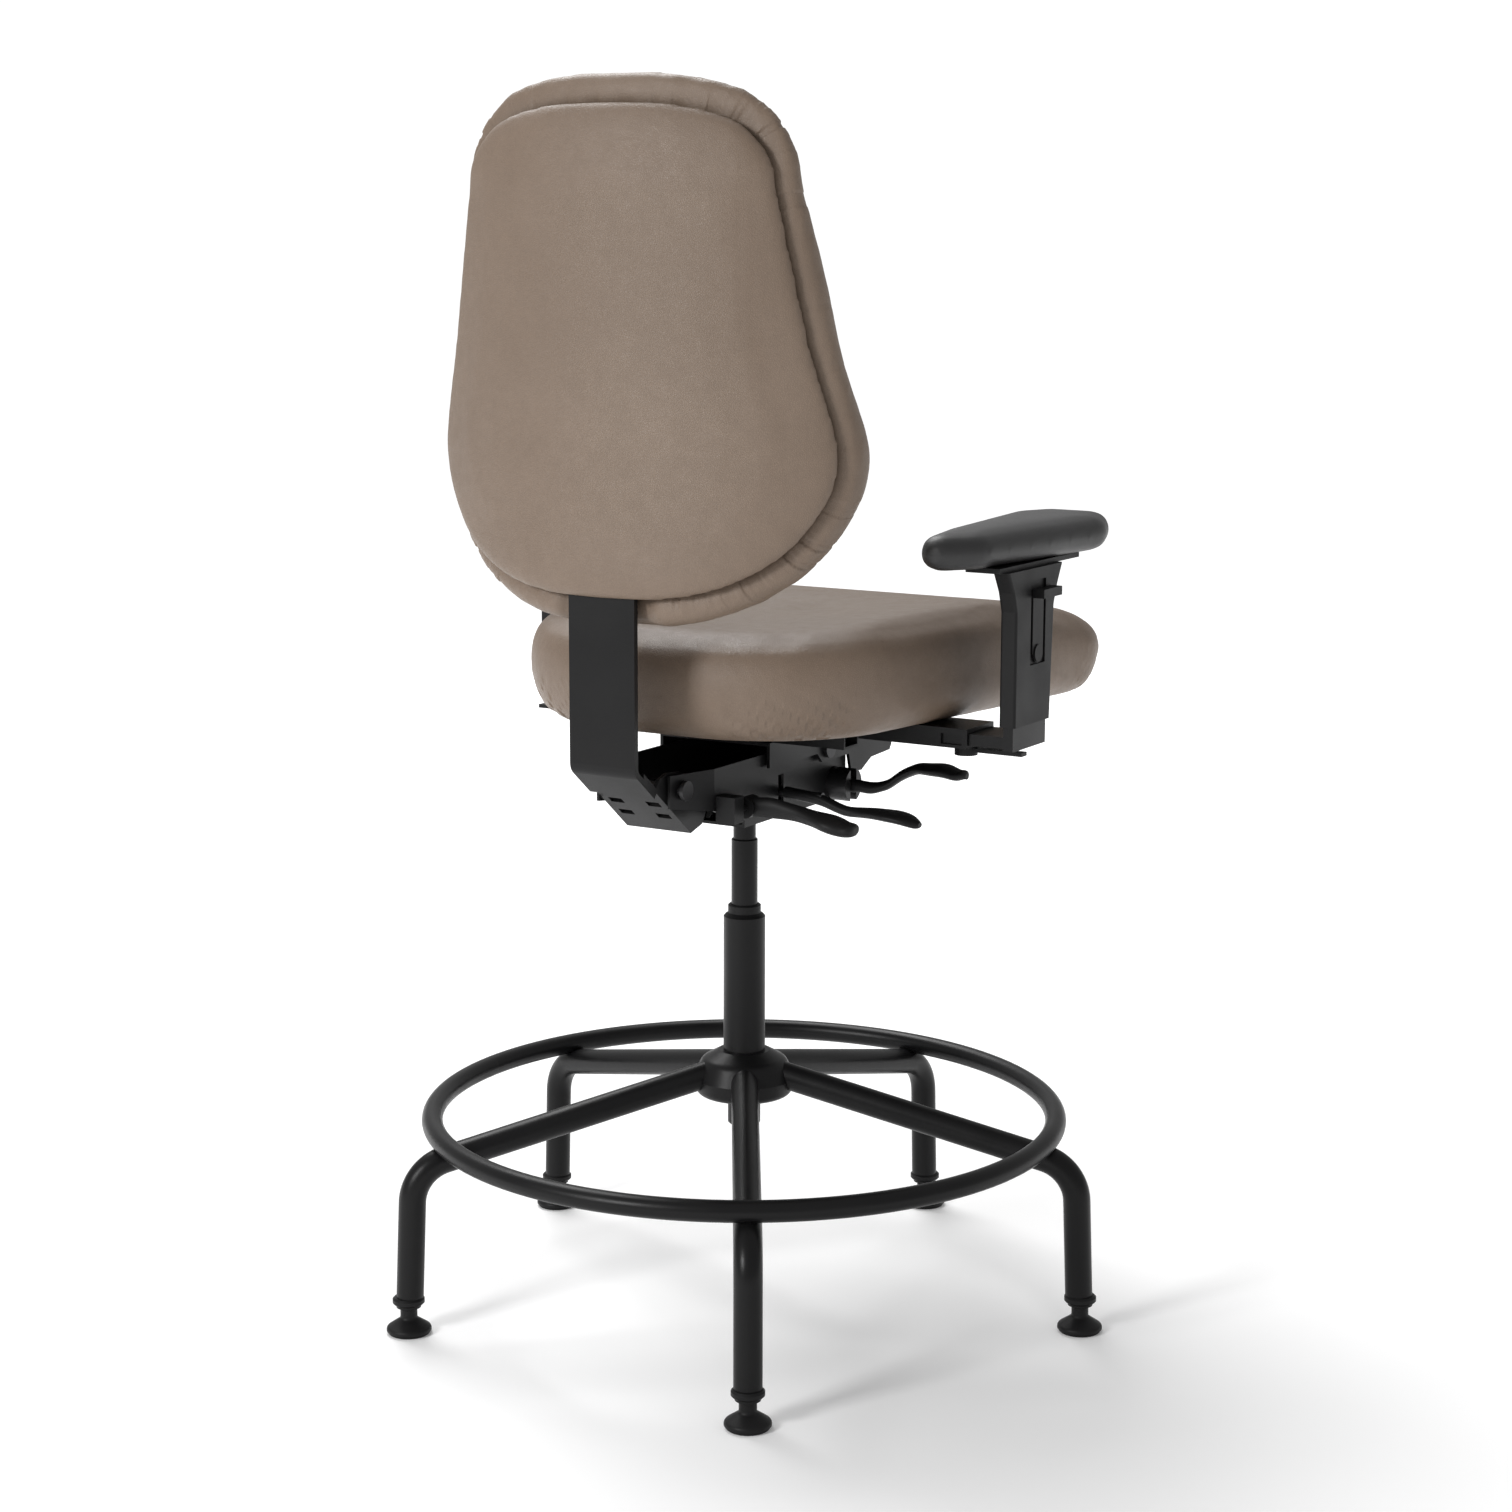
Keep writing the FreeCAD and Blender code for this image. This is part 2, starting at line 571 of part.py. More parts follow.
def make_column():
    floor = "tail_bottom + tail_floor"
    node(turned("stand_tube_body", [
        ("rod_d / 2 + running", "tail_bottom"), ("tail_d / 2 - 2", "tail_bottom"),
        ("tail_d / 2", "tail_bottom + 2"),
        ("tail_d / 2", "hub_bottom"), ("tube_d / 2", "hub_bottom"), ("tube_d / 2", "tube_top - 2"),
        ("tube_d / 2 - 2", "tube_top"), ("tube_bore / 2", "tube_top"), ("tube_bore / 2", "hub_bottom + 4"),
        ("tail_bore / 2", "hub_bottom + 4"), ("tail_bore / 2", floor), ("rod_d / 2 + running", floor)]),
        "stand_tube")
    node(turned("bush_body", [
        ("gas_d / 2 + running", "tube_top - bush_depth"), ("tube_bore / 2", "tube_top - bush_depth"),
        ("tube_bore / 2", "tube_top"), ("bush_collar_d / 2 + 3", "tube_top"),
        ("bush_collar_d / 2", "tube_top + 2"), ("bush_collar_d / 2", "tube_top + bush_collar - 1"),
        ("bush_collar_d / 2 - 1", "tube_top + bush_collar"),
        ("gas_d / 2 + running", "tube_top + bush_collar")]),
        "guide_bush")
    node(turned("bearing_body", [
        ("rod_d / 2 + gap", floor), ("bearing_d / 2", floor), ("bearing_d / 2", f"{floor} + bearing * 0.3"),
        ("bearing_d / 2 - 1.5", f"{floor} + bearing * 0.5"), ("bearing_d / 2", f"{floor} + bearing * 0.7"),
        ("bearing_d / 2", f"{floor} + bearing"), ("rod_d / 2 + gap", f"{floor} + bearing")]),
        "thrust_bearing")
    clip_top = "tail_bottom - running"
    bore = "gas_d / 2 - gas_wall"
    node(turned("rod_body", [
        ("0", f"{clip_top} - clip - 2"), ("rod_d / 2", f"{clip_top} - clip - 2"),
        ("rod_d / 2", f"{clip_top} - clip"),
        ("clip_d / 2", f"{clip_top} - clip"), ("clip_d / 2", clip_top), ("rod_d / 2", clip_top),
        ("rod_d / 2", "piston_bottom"), (f"{bore} - running", "piston_bottom"),
        (f"{bore} - running", "piston_bottom + piston"), ("0", "piston_bottom + piston")]), "piston_rod")
    bottom = "gas_shoulder - gas_length"
    node(turned("cylinder_body", [
        ("rod_d / 2 + running", bottom), ("gas_d / 2 - 1", bottom), ("gas_d / 2", f"{bottom} + 1"),
        ("gas_d / 2", "gas_shoulder - 1"), ("gas_d / 2 - 1", "gas_shoulder"), ("cone_d / 2", "gas_shoulder"),
        ("cone_d / 2", "cone_top"), ("pin_d / 2 + running", "cone_top"),
        ("pin_d / 2 + running", "gas_shoulder - gas_ceiling"), (bore, "gas_shoulder - gas_ceiling"),
        (bore, f"{bottom} + gas_end"), ("rod_d / 2 + running", f"{bottom} + gas_end")]), "gas_cylinder")
    pin_bottom = "gas_shoulder - gas_ceiling + 6"
    node(rod("pin_body", "z", "pin_d / 2", pin_bottom, "pin_top"), "valve_pin")
    node(turned("column_socket_body", [
        ("cone_d / 2", "socket_bottom"), ("socket_d / 2 - 2", "socket_bottom"),
        ("socket_d / 2", "socket_bottom + 2"),
        ("socket_d / 2", "box_bottom + box_wall"), ("socket_d / 2 + 7", "box_bottom + box_wall"),
        ("socket_d / 2 + 7", "box_bottom + box_wall + 3"), ("socket_d / 2", "box_bottom + box_wall + 3"),
        ("socket_d / 2", "cone_top - 4"), ("cone_d / 2", "cone_top - 4")]), "column_socket")


# Mechanism under the seat

def make_housing():
    body = new_body("housing_body")
    height = "box_top - box_bottom"
    plan = new_sketch(body, "XY_Plane", "plan", offset="box_bottom")
    polygon(plan, [("-box_half", "-box_front"), ("box_half", "-box_front"), ("box_half", "box_waist"),
                   ("box_neck_half", "box_rear"), ("-box_neck_half", "box_rear"), ("-box_half", "box_waist")])
    pad(body, plan, height)
    round_edges(body, "2 * box_wall",
                lambda e: along((0, 0, 1), e) and e.CenterOfMass.y < number("box_rear") - 1)
    inside = new_sketch(body, "XY_Plane", "inside", offset="box_top")
    lean = "(box_half - box_neck_half) / (box_rear - box_waist)"
    mouth = f"box_neck_half - box_wall - {lean} * 2"
    polygon(inside, [("box_wall - box_half", "box_wall - box_front"),
                     ("box_half - box_wall", "box_wall - box_front"),
                     ("box_half - box_wall", "box_waist"), (mouth, "box_rear + 2"),
                     (f"-({mouth})", "box_rear + 2"),
                     ("box_wall - box_half", "box_waist")])
    pocket(body, inside, f"{height} - box_wall")
    under = new_sketch(body, "XY_Plane", "rear_opening", offset="box_bottom + box_wall + 1")
    polygon(under, [("box_wall - box_half", "floor_rear"), ("box_half - box_wall", "floor_rear"),
                    ("box_half - box_wall", "box_waist"), (mouth, "box_rear + 2"),
                    (f"-({mouth})", "box_rear + 2"),
                    ("box_wall - box_half", "box_waist")])
    pocket(body, under, "box_wall + 2")
    rise = new_sketch(body, "YZ_Plane", "rear_rise", offset="-box_half - 1")
    polygon(rise, [("floor_rear", "box_bottom - 1"), ("box_rear + 1", "box_bottom - 1"),
                   ("box_rear + 1", "box_rear_bottom"), ("box_waist", "box_rear_bottom - 10"),
                   ("floor_rear", "box_bottom + 8")])
    pocket(body, rise, "2 * box_half + 2", back=True)
    return body


def side_hole(name, y, z, diameter, reach="box_half + 5"):
    return rod(name, "x", f"({diameter}) / 2", f"-({reach})", reach, y, z)


def make_mechanism():
    lever_slot = box("lever_slot", ("-box_half - 1", "1 - box_half + box_wall"),
                     ("lift_lever_y - lift_rod_d / 2 - 1", "lift_lever_y + lift_rod_d / 2 + 1"),
                     ("lift_lever_z - 16", "lift_lever_z + 16"))
    floor_hole = rod("floor_hole", "z", "socket_d / 2", "box_bottom - 1", "box_bottom + box_wall + 1")
    node(cut("housing", make_housing(), lever_slot, floor_hole,
             side_hole("tilt_hole", "tilt_y", "tilt_z", "axle_d"),
             side_hole("back_hole", "back_y", "back_z", "axle_d"),
             side_hole("clutch_hole", "clutch_y", "clutch_z", "clutch_d")), "mechanism_housing")
    # axles and the clutch bolt: a shaft with a head at each end, outside what it holds
    wall_at_axle = (
        "box_neck_half + (box_half - box_neck_half) / (box_rear - box_waist)"
        " * (box_rear - back_y + axle_head_d / 2)"
    )
    for label, y, z, d, half in (
            ("tilt_axle", "tilt_y", "tilt_z", "axle_d", "plate_half + gap"),
            ("back_axle", "back_y", "back_z", "axle_d", f"{wall_at_axle} + running"),
            ("clutch_bolt", "clutch_y", "clutch_z", "clutch_d", "box_half")):
        head = f"{d} / 2 + (axle_head_d - axle_d) / 2"
        shaft = rod(f"{label}_shaft", "x", f"{d} / 2", f"-({half})", half, y, z)
        head_left = rod(f"{label}_head_left", "x", head, half, f"{half} + axle_head", y, z)
        head_right = rod(f"{label}_head_right", "x", head, f"-({half}) - axle_head", f"-({half})", y, z)
        node(fuse(f"{label}_parts", shaft, head_left, head_right), label)


# Levers: paddles lofted through ellipses, one column of numbers per section:
# out from the housing's side, height above the pivot, half width along Y, half height

HEIGHT_PADDLE = [(6, -2, 6.2, 6), (44, -5.5, 6.5, 6), (83, -15, 7.5, 5.2), (110, -14, 14, 5.4),
                 (138, -15, 17, 6), (156, -19, 12, 5), (163, -20.5, 4, 2.5)]
BACK_PADDLE = [(22, 0, 7, 10), (40, 1, 7, 10.5), (68, -1, 8, 8.5), (90, -4.5, 12, 8),
               (112, -8.5, 18, 9), (130, -12, 14, 7.5), (139, -12.5, 4, 3)]
TILT_PADDLE = [(20, 0, 5.2, 7), (44, -1, 5.5, 6.5), (62, 3, 6.5, 5.6), (86, 18, 9, 6),
               (106, 25.5, 13, 6), (130, 26, 16.5, 7), (148, 23, 13, 6), (159, 22, 4, 3)]


def slopes(outs, sizes_there):
    """Slope of a smooth curve at each point, flat where the curve turns back."""
    steps = [(b - a) / (d - c) for a, b, c, d in zip(sizes_there, sizes_there[1:], outs, outs[1:])]
    inner = [0 if a * b <= 0 else 2 * a * b / (a + b) for a, b in zip(steps, steps[1:])]
    return [steps[0]] + inner + [steps[-1]]


def between(sections, out):
    """The section at one place, on a smooth curve through the given ones."""
    columns = list(zip(*sections))
    outs = columns[0]
    i = min(max(k for k, o in enumerate(outs) if o <= out), len(outs) - 2)
    width = outs[i + 1] - outs[i]
    t = (out - outs[i]) / width
    found = []
    for column in columns[1:]:
        slope = slopes(outs, column)
        found.append((1 + 2 * t) * (1 - t) ** 2 * column[i] + t * (1 - t) ** 2 * width * slope[i]
                     + t * t * (3 - 2 * t) * column[i + 1] + t * t * (t - 1) * width * slope[i + 1])
    return found


def make_paddle(name, sections, y, z):
    """A lever lofted through evenly spaced ellipses, with a round end."""
    body = new_body(name)
    first, last = sections[0][0], sections[-1][0]
    count = round((last - first) / 9)
    outs = [first + (last - first) * i / count for i in range(count + 1)]
    drawn = []
    for out in outs:
        height, half_width, half_height = between(sections, out)
        sketch = new_sketch(body, "YZ_Plane", "section", offset=f"-box_half - {out:.3f}")
        ellipse(sketch, y, f"{z} + ({height:.3f})", f"{half_width:.3f}", f"{half_height:.3f}")
        drawn.append(sketch)
    loft = body.newObject("PartDesign::AdditiveLoft", "paddle")
    loft.Profile = drawn[0]
    loft.Sections = drawn[1:]
    return body


def make_levers():
    # back angle lever, on a pin that stands out of its block
    block = box("block", ("-box_half - 22", "-box_half"), ("clutch_y + 8", "clutch_y + 26"),
                ("back_lever_z - 12", "back_lever_z + 15"))
    pin = rod("block_pin", "y", "lever_pin_d / 2", "back_lever_y - 10", "clutch_y + 8",
              "-back_lever_x", "back_lever_z")
    node(fuse("block_parts", block, pin), "back_lever_block")
    hub = rod("back_hub", "y", "11", "back_lever_y - 9", "back_lever_y + 9", "-back_lever_x", "back_lever_z")
    bore = rod("back_bore", "y", "lever_pin_d / 2 + running", "back_lever_y - 40", "back_lever_y + 40",
               "-back_lever_x", "back_lever_z")
    lever = fuse("back_lever_parts", make_paddle("back_paddle", BACK_PADDLE, "back_lever_y", "back_lever_z"),
                 hub)
    node(cut("back_lever", lever, bore), "back_angle_lever")
    # height lever: the paddle on its rod, which rocks on a bracket and reaches over the valve pin
    post_x = ("-lift_lever_x - 7", "7 - lift_lever_x")
    post_z = ("box_bottom + box_wall", "lift_lever_z + 6")
    post_front = box("post_front", post_x, ("lift_lever_y - 13", "lift_lever_y - 9"), post_z)
    post_rear = box("post_rear", post_x, ("lift_lever_y + 9", "lift_lever_y + 13"), post_z)
    pin = rod("rocker_pin", "y", "lever_pin_d / 2", "lift_lever_y - 9", "lift_lever_y + 9",
              "-lift_lever_x", "lift_lever_z")
    node(fuse("rocker_parts", post_front, post_rear, pin), "height_lever_bracket")
    paddle = make_paddle("height_paddle_body", HEIGHT_PADDLE, "lift_lever_y", "lift_lever_z")
    rod_seat = rod("rod_seat", "x", "lift_rod_d / 2", "-box_half - 50", "-box_half",
                   "lift_lever_y", "lift_lever_z - 3")
    node(cut("height_paddle", paddle, rod_seat), "height_lever_paddle")
    hub = rod("rocker_hub", "y", "lever_pin_d / 2 + 4", "lift_lever_y - 8.5", "lift_lever_y + 8.5",
              "-lift_lever_x", "lift_lever_z")
    stem = rod("rocker_stem", "x", "lift_rod_d / 2", "-box_half - 50", "-lift_lever_x",
               "lift_lever_y", "lift_lever_z - 3")
    finger = prism("finger_body", "XY_Plane", [
        ("-lift_lever_x - 5", "lift_lever_y + 6"), ("-lift_lever_x - 5", "lift_lever_y - 6"),
        ("14 - lift_lever_x", "lift_lever_y - 7"), ("-pin_d", "-pin_d"), ("pin_d", "-pin_d"),
        ("pin_d", "pin_d"),
        ("14 - lift_lever_x", "lift_lever_y + 6")],
        "6", offset="pin_top + gap")
    bore = rod("rocker_bore", "y", "lever_pin_d / 2 + running", "lift_lever_y - 20", "lift_lever_y + 20",
               "-lift_lever_x", "lift_lever_z")
    node(cut("height_rod", fuse("height_rod_parts", hub, stem, finger), bore), "height_lever_rod")
    # seat tilt lever, on a pin across a slotted boss
    boss = rod("boss", "x", "boss_d / 2", "-box_half - boss_length", "-box_half", "tilt_lever_y",
               "tilt_lever_z")
    slot = box("boss_gap", ("-box_half - boss_length - 1", "-box_half - 3"),
               ("tilt_lever_y - boss_slot / 2", "tilt_lever_y + boss_slot / 2"),
               ("tilt_lever_z - boss_d", "tilt_lever_z + boss_d"))
    pin = rod("boss_pin", "y", "lever_pin_d / 2", "tilt_lever_y - boss_slot / 2",
              "tilt_lever_y + boss_slot / 2",
              "-tilt_lever_x", "tilt_lever_z")
    node(fuse("boss_parts", cut("boss", boss, slot), pin), "tilt_lever_boss")
    hub = rod("tilt_hub", "y", "lever_pin_d / 2 + 5", "tilt_lever_y - boss_slot / 2 + gap",
              "tilt_lever_y + boss_slot / 2 - gap", "-tilt_lever_x", "tilt_lever_z")
    bore = rod("tilt_bore", "y", "lever_pin_d / 2 + running", "tilt_lever_y - 20", "tilt_lever_y + 20",
               "-tilt_lever_x", "tilt_lever_z")
    lever = fuse("tilt_lever_parts", make_paddle("tilt_paddle", TILT_PADDLE, "tilt_lever_y", "tilt_lever_z"),
                 hub)
    node(cut("tilt_lever", lever, bore), "seat_tilt_lever")


# Seat

def seat_outline(inset):
    rear, front = f"seat_rear - {inset}", f"{inset} - seat_front"
    return [(f"{inset} - seat_rear_half", rear), (f"seat_rear_half - {inset}", rear),
            (f"seat_front_half - {inset}", front), (f"{inset} - seat_front_half", front)]


def seat_slab(label, inset, top):
    """A slab of the seat's outline from the pan's underside up, round at its four corners."""
    body = prism(f"{label}_body", "XY_Plane", seat_outline(inset), f"{top} - pan_bottom", offset="pan_bottom")
    round_edges(body, f"seat_rear_corner - {inset}", lambda e: along((0, 0, 1), e) and e.CenterOfMass.y > 0)
    round_edges(body, f"seat_front_corner - {inset}",
                lambda e: along((0, 0, 1), e) and e.CenterOfMass.y < -number("seat_front") / 2)
    return body


def make_seat():
    flange = [("plate_rear", "plate_top"), ("plate_rear", "plate_skirt"), ("tilt_y + 22", "plate_skirt"),
              ("tilt_y + 12", "tilt_z - 13"), ("tilt_y - 46", "tilt_z - 13"), ("tilt_y - 52", "tilt_z - 33"),
              ("tilt_y - 74", "tilt_z - 35"), ("tilt_y - 96", "tilt_z - 24"),
              ("4 - plate_front", "tilt_z - 22"),
              ("-plate_front", "tilt_z - 16"), ("-plate_front", "plate_top")]
    sheet = prism("plate_sheet_body", "YZ_Plane", flange, "2 * plate_half", offset="-plate_half")
    hollow = box("plate_hollow", ("plate_sheet - plate_half", "plate_half - plate_sheet"),
                 ("-plate_front - 1", "plate_rear + 1"), ("box_bottom", "plate_top - plate_sheet"))
    pivot = side_hole("plate_pivot", "tilt_y", "tilt_z", "axle_d + 2 * running", reach="plate_half + 1")
    hole = side_hole("plate_hole", "12 - plate_front", "tilt_z - 8", "8", reach="plate_half + 1")
    node(cut("seat_plate", sheet, hollow, pivot, hole), "seat_plate")
    for label, y in (("seat_crossbar_front", "bar_front_y"), ("seat_crossbar_rear", "bar_rear_y")):
        outer = box(f"{label}_outer", ("-bar_half", "bar_half"),
                    (f"{y} - bar_width / 2", f"{y} + bar_width / 2"),
                    ("plate_top", "pan_bottom"))
        inner = box(f"{label}_inner", ("-bar_half - 1", "bar_half + 1"),
                    (f"{y} - bar_width / 2 + bar_wall", f"{y} + bar_width / 2 - bar_wall"),
                    ("plate_top + bar_wall", "pan_bottom - bar_wall"))
        node(cut(label, outer, inner), label)
    node(seat_slab("seat_pan", "pan_inset", "pan_bottom + pan"), "seat_pan")
    cover = seat_slab("seat_cover", "0", "seat_top")
    round_edges(cover, "seat_edge", lambda e: at_height(number("seat_top"), e))
    round_edges(cover, "seat_under_edge", lambda e: at_height(number("pan_bottom"), e))
    node(cut("seat_cushion", cover, seat_slab("pan_recess", "pan_inset", "pan_bottom + pan")), "seat_cushion")


# Back bracket and bar

LIP_RUN = "(bar_j_rear - lip_y)"
LIP_RISE = "(bar_j_bend - lip_z)"
LIP_TILT = f"atan2({LIP_RISE}; {LIP_RUN})"


def bar_line(depth, y):
    """Height at y of a line parallel to the lip, a depth inside the lip's outer face."""
    return f"(lip_z + ({y} - lip_y) * {LIP_RISE} / {LIP_RUN} + ({depth}) / cos({LIP_TILT}))"


def make_back_bar():
    inner = "bar_j_rear - bar_j"
    lip_inner_y = f"(lip_y - bar_j * sin({LIP_TILT}))"
    body = prism("bar_body", "YZ_Plane", [
        ("bar_j_rear", "bar_j_top"), (inner, "bar_j_top"), (inner, bar_line("bar_j", inner)),
        (lip_inner_y, bar_line("bar_j", lip_inner_y)), ("lip_y", "lip_z"), ("bar_j_rear", "bar_j_bend")],
        "2 * bar_j_half", offset="-bar_j_half")
    outer_bend = number("bar_j_bend")
    inner_bend = number(bar_line("bar_j", inner))
    round_edges(body, "8 + bar_j", lambda e: along((1, 0, 0), e) and at_height(outer_bend, e))
    round_edges(body, "8", lambda e: along((1, 0, 0), e) and at_height(inner_bend, e))
    round_edges(body, "12", lambda e: along((0, 1, 0), e) and at_height(number("bar_j_top"), e))
    node(body, "back_bar")


def make_bracket():
    sheet = "bar_j + bracket_sheet"
    tail_y = "(bar_j_rear - bar_j - 10)"
    plate = prism("bracket_plate", "YZ_Plane", [
        (tail_y, bar_line("bar_j", tail_y)), ("bracket_nose_y", bar_line("bar_j", "bracket_nose_y")),
        ("bracket_nose_y", bar_line(sheet, "bracket_nose_y")), (tail_y, bar_line(sheet, tail_y))],
        "2 * bar_j_half", offset="-bar_j_half")
    parts = [plate]
    for side, start in (("left", "bar_j_half - bracket_sheet"), ("right", "-bar_j_half")):
        parts.append(prism(f"cheek_{side}", "YZ_Plane", [
            ("back_y + 34", bar_line("bar_j", "back_y + 34")), ("back_y + 26", "back_z + 14"),
            ("back_y + 10", "back_z + 18"), ("back_y - 12", "back_z + 16"),
            ("clutch_y + 12", "clutch_z + 16"),
            ("clutch_y - 12", "clutch_z + 13"), ("clutch_y - 14", "clutch_z - 8"),
            ("clutch_y + 2", "clutch_z - 18"), ("bracket_nose_y", bar_line("bar_j", "bracket_nose_y"))],
            "bracket_sheet", offset=start))
    whole = fuse("bracket_parts", *parts)
    # the slot that lets the clutch bolt pass through the cheeks while the back reclines
    reach = "sqrt((back_y - clutch_y) ^ 2 + (back_z - clutch_z) ^ 2)"
    slot = sector("clutch_slot", reach, "clutch_d / 2 + gap")
    pivot = side_hole("bracket_pivot", "back_y", "back_z", "axle_d + 2 * running")
    holes = []
    for i, across in enumerate(("-slot_spread / 2", "slot_spread / 2")):
        for j, along_plate in enumerate(("-slot_pitch / 2", "slot_pitch / 2")):
            holes.append(plate_slot(f"slot_{i}{j}", across, along_plate))
    node(cut("bracket", whole, slot, pivot, *holes), "back_bracket")


def sector(name, reach, half):
    """A curved slot about the back axle, as long as the recline needs, cut through both cheeks."""
    outer = rod(f"{name}_outer", "x", f"{reach} + {half}", "-bar_j_half - 1", "bar_j_half + 1", "back_y",
                "back_z")
    inner = rod(f"{name}_inner", "x", f"{reach} - ({half})", "-bar_j_half - 2", "bar_j_half + 2", "back_y",
                "back_z")
    start = "(atan2(clutch_z - back_z; clutch_y - back_y) / 1 deg)"
    spare = f"(asin(({half}) / ({reach})) / 1 deg)"
    far = f"({reach} * 2)"
    low = f"({start} + recline_back + {spare})"
    high = f"({start} - recline_front - {spare})"
    wedge = prism(f"{name}_wedge", "YZ_Plane", [
        ("back_y", "back_z"), (f"back_y + {far} * cos({low})", f"back_z + {far} * sin({low})"),
        (f"back_y + {far} * cos({high})", f"back_z + {far} * sin({high})")],
        "2 * bar_j_half + 2", offset="-bar_j_half - 1")
    common = doc.addObject("Part::Common", name)
    common.Base = cut(f"{name}_band", outer, inner)
    common.Tool = wedge
    return common


def plate_slot(name, across, along_plate):
    """A straight slot through the bracket's sloping plate."""
    middle_y = f"((bracket_nose_y + lip_y) / 2 + ({along_plate}) * cos({LIP_TILT}))"
    obj = doc.addObject("Part::Box", name)
    bind(obj, Length="slot_length", Width="slot_width", Height="4 * bracket_sheet")
    place(obj, f"{across} - slot_length / 2", middle_y, bar_line("bar_j - bracket_sheet", middle_y),
          turn=LIP_TILT, axis=(1, 0, 0))
    return obj


# Back rest. Its outline is a smooth closed curve, so these solids are set with Part's own functions.

def back_points(inset, inset_ends):
    """Right half of the back's outline, bottom to top, moved inwards."""
    top = number("back_top") - inset_ends
    bottom = number("back_bottom") + inset_ends
    wide = number("back_wide_half") - inset
    wide_z = number("back_wide_z")
    neck = number("back_neck_half") - inset
    neck_z = number("back_neck_z")
    low = wide_z - bottom
    high = top - neck_z
    waist = (wide + neck) / 2
    return [(0, bottom), (0.40 * wide, bottom + 0.04 * low), (0.70 * wide, bottom + 0.22 * low),
            (0.91 * wide, bottom + 0.55 * low), (wide, wide_z),
            (waist, wide_z + 0.46 * (neck_z - wide_z)), (neck, neck_z),
            (0.93 * neck, neck_z + 0.46 * high), (0.72 * neck, neck_z + 0.80 * high),
            (0.38 * neck, neck_z + 0.97 * high), (0, top)]


def back_prism(inset, inset_ends, y_front, y_rear):
    right = back_points(inset, inset_ends)
    left = [(-x, z) for x, z in reversed(right[1:-1])]
    curve = Part.BSplineCurve()
    curve.interpolate([FreeCAD.Vector(x, y_front, z) for x, z in right + left], PeriodicFlag=True)
    face = Part.Face(Part.Wire([curve.toShape()]))
    return face.extrude(FreeCAD.Vector(0, y_rear - y_front, 0))


def barrel(radius, furthest, z_low, z_high):
    """An upright cylinder whose furthest line along +Y is at the given place."""
    return Part.makeCylinder(radius, z_high - z_low, FreeCAD.Vector(0, furthest - radius, z_low))


def set_shape(label, shape):
    obj = doc.addObject("Part::Feature", f"{label}_solid")
    obj.Shape = shape
    obj.Placement = FreeCAD.Placement()
    return node(obj, label)


def make_back():
    low = number("back_bottom") - 50
    high = number("back_top") + 50
    rear = number("back_rear")
    curve = number("back_curve")
    gap = number("gap")
    half = number("pocket_half")
    rear_face = barrel(curve, rear, low, high)
    seam_rear = rear - number("panel")
    seam_face = barrel(curve - number("panel"), seam_rear, low, high)
    board_rear = number("board_rear")
    board_curve = curve - (rear - board_rear)
    board_back = barrel(board_curve, board_rear, low, high)
    board_front = barrel(board_curve - number("board"), board_rear - number("board"), low, high)
    face = barrel(number("back_face_curve"), number("back_face"), low, high)
    bar_room = Part.makeBox(2 * half, number("bar_j_rear") + gap - board_rear + 1, number("pocket_top") - low,
                            FreeCAD.Vector(-half, board_rear - 1, low))

    panel = back_prism(number("panel_inset"), number("panel_inset_top"), 0, 400)
    panel = panel.common(rear_face).cut(seam_face).cut(bar_room)
    set_shape("back_panel", max(panel.Solids, key=lambda s: s.CenterOfMass.y))

    board = back_prism(number("board_inset"), number("board_inset"), 0, 400)
    board = board.common(board_back).cut(board_front)
    set_shape("back_board", max(board.Solids, key=lambda s: s.CenterOfMass.y))

    mouth = Part.makeBox(2 * half, 400 - board_rear, number("pocket_top") - low,
                         FreeCAD.Vector(-half, board_rear - 1, low))
    whole = back_prism(0, 0, 0, 400).common(seam_face).cut(face)
    whole = max(whole.Solids, key=lambda s: s.CenterOfMass.y)
    room = back_prism(number("board_inset") - gap, number("board_inset") - gap, 0, 400).cut(board_front)
    room = max(room.Solids, key=lambda s: s.CenterOfMass.y)
    set_shape("back_cushion", whole.cut(room).cut(mouth))


def make_guide():
    """The height guide on the board: a channel that runs on the back bar."""
    top = "guide_bottom + guide_length"
    outer = box("guide_outer", ("5 - pocket_half", "pocket_half - 5"), ("board_rear", "bar_j_rear - 1"),
                ("guide_bottom", top))
    slide = box("guide_slide", ("-bar_j_half - gap", "bar_j_half + gap"),
                ("bar_j_rear - bar_j - gap", "bar_j_rear + 5"), ("guide_bottom - 1", f"{top} + 1"))
    node(cut("guide", outer, slide), "back_height_guide")


# Arms: side is -1 on the sitter's right and 1 on the left

# corners of a pad in plan: out from the sleeve's inner face, along Y
PAD_OUTLINE = [(-41, 104), (10, 40), (34, -190), (10, -252), (-62, -252), (-87, -200), (-64, 0)]


def span(side, near, far):
    """X limits between two distances out from the middle, low value first."""
    return (near, far) if side > 0 else (f"-({far})", f"-({near})")


def sleeve_outline():
    return [("-sleeve_rear", "sleeve_bottom"), ("-sleeve_rear", "sleeve_waist"),
            ("-sleeve_rear + sleeve_flare * 0.35", "sleeve_waist + 20"),
            ("-sleeve_rear + sleeve_flare", "sleeve_top"), ("-sleeve_front - sleeve_flare", "sleeve_top"),
            ("-sleeve_front - sleeve_flare * 0.4", "sleeve_waist + 20"),
            ("-sleeve_front", "sleeve_waist"), ("-sleeve_front + 6", "sleeve_bottom")]


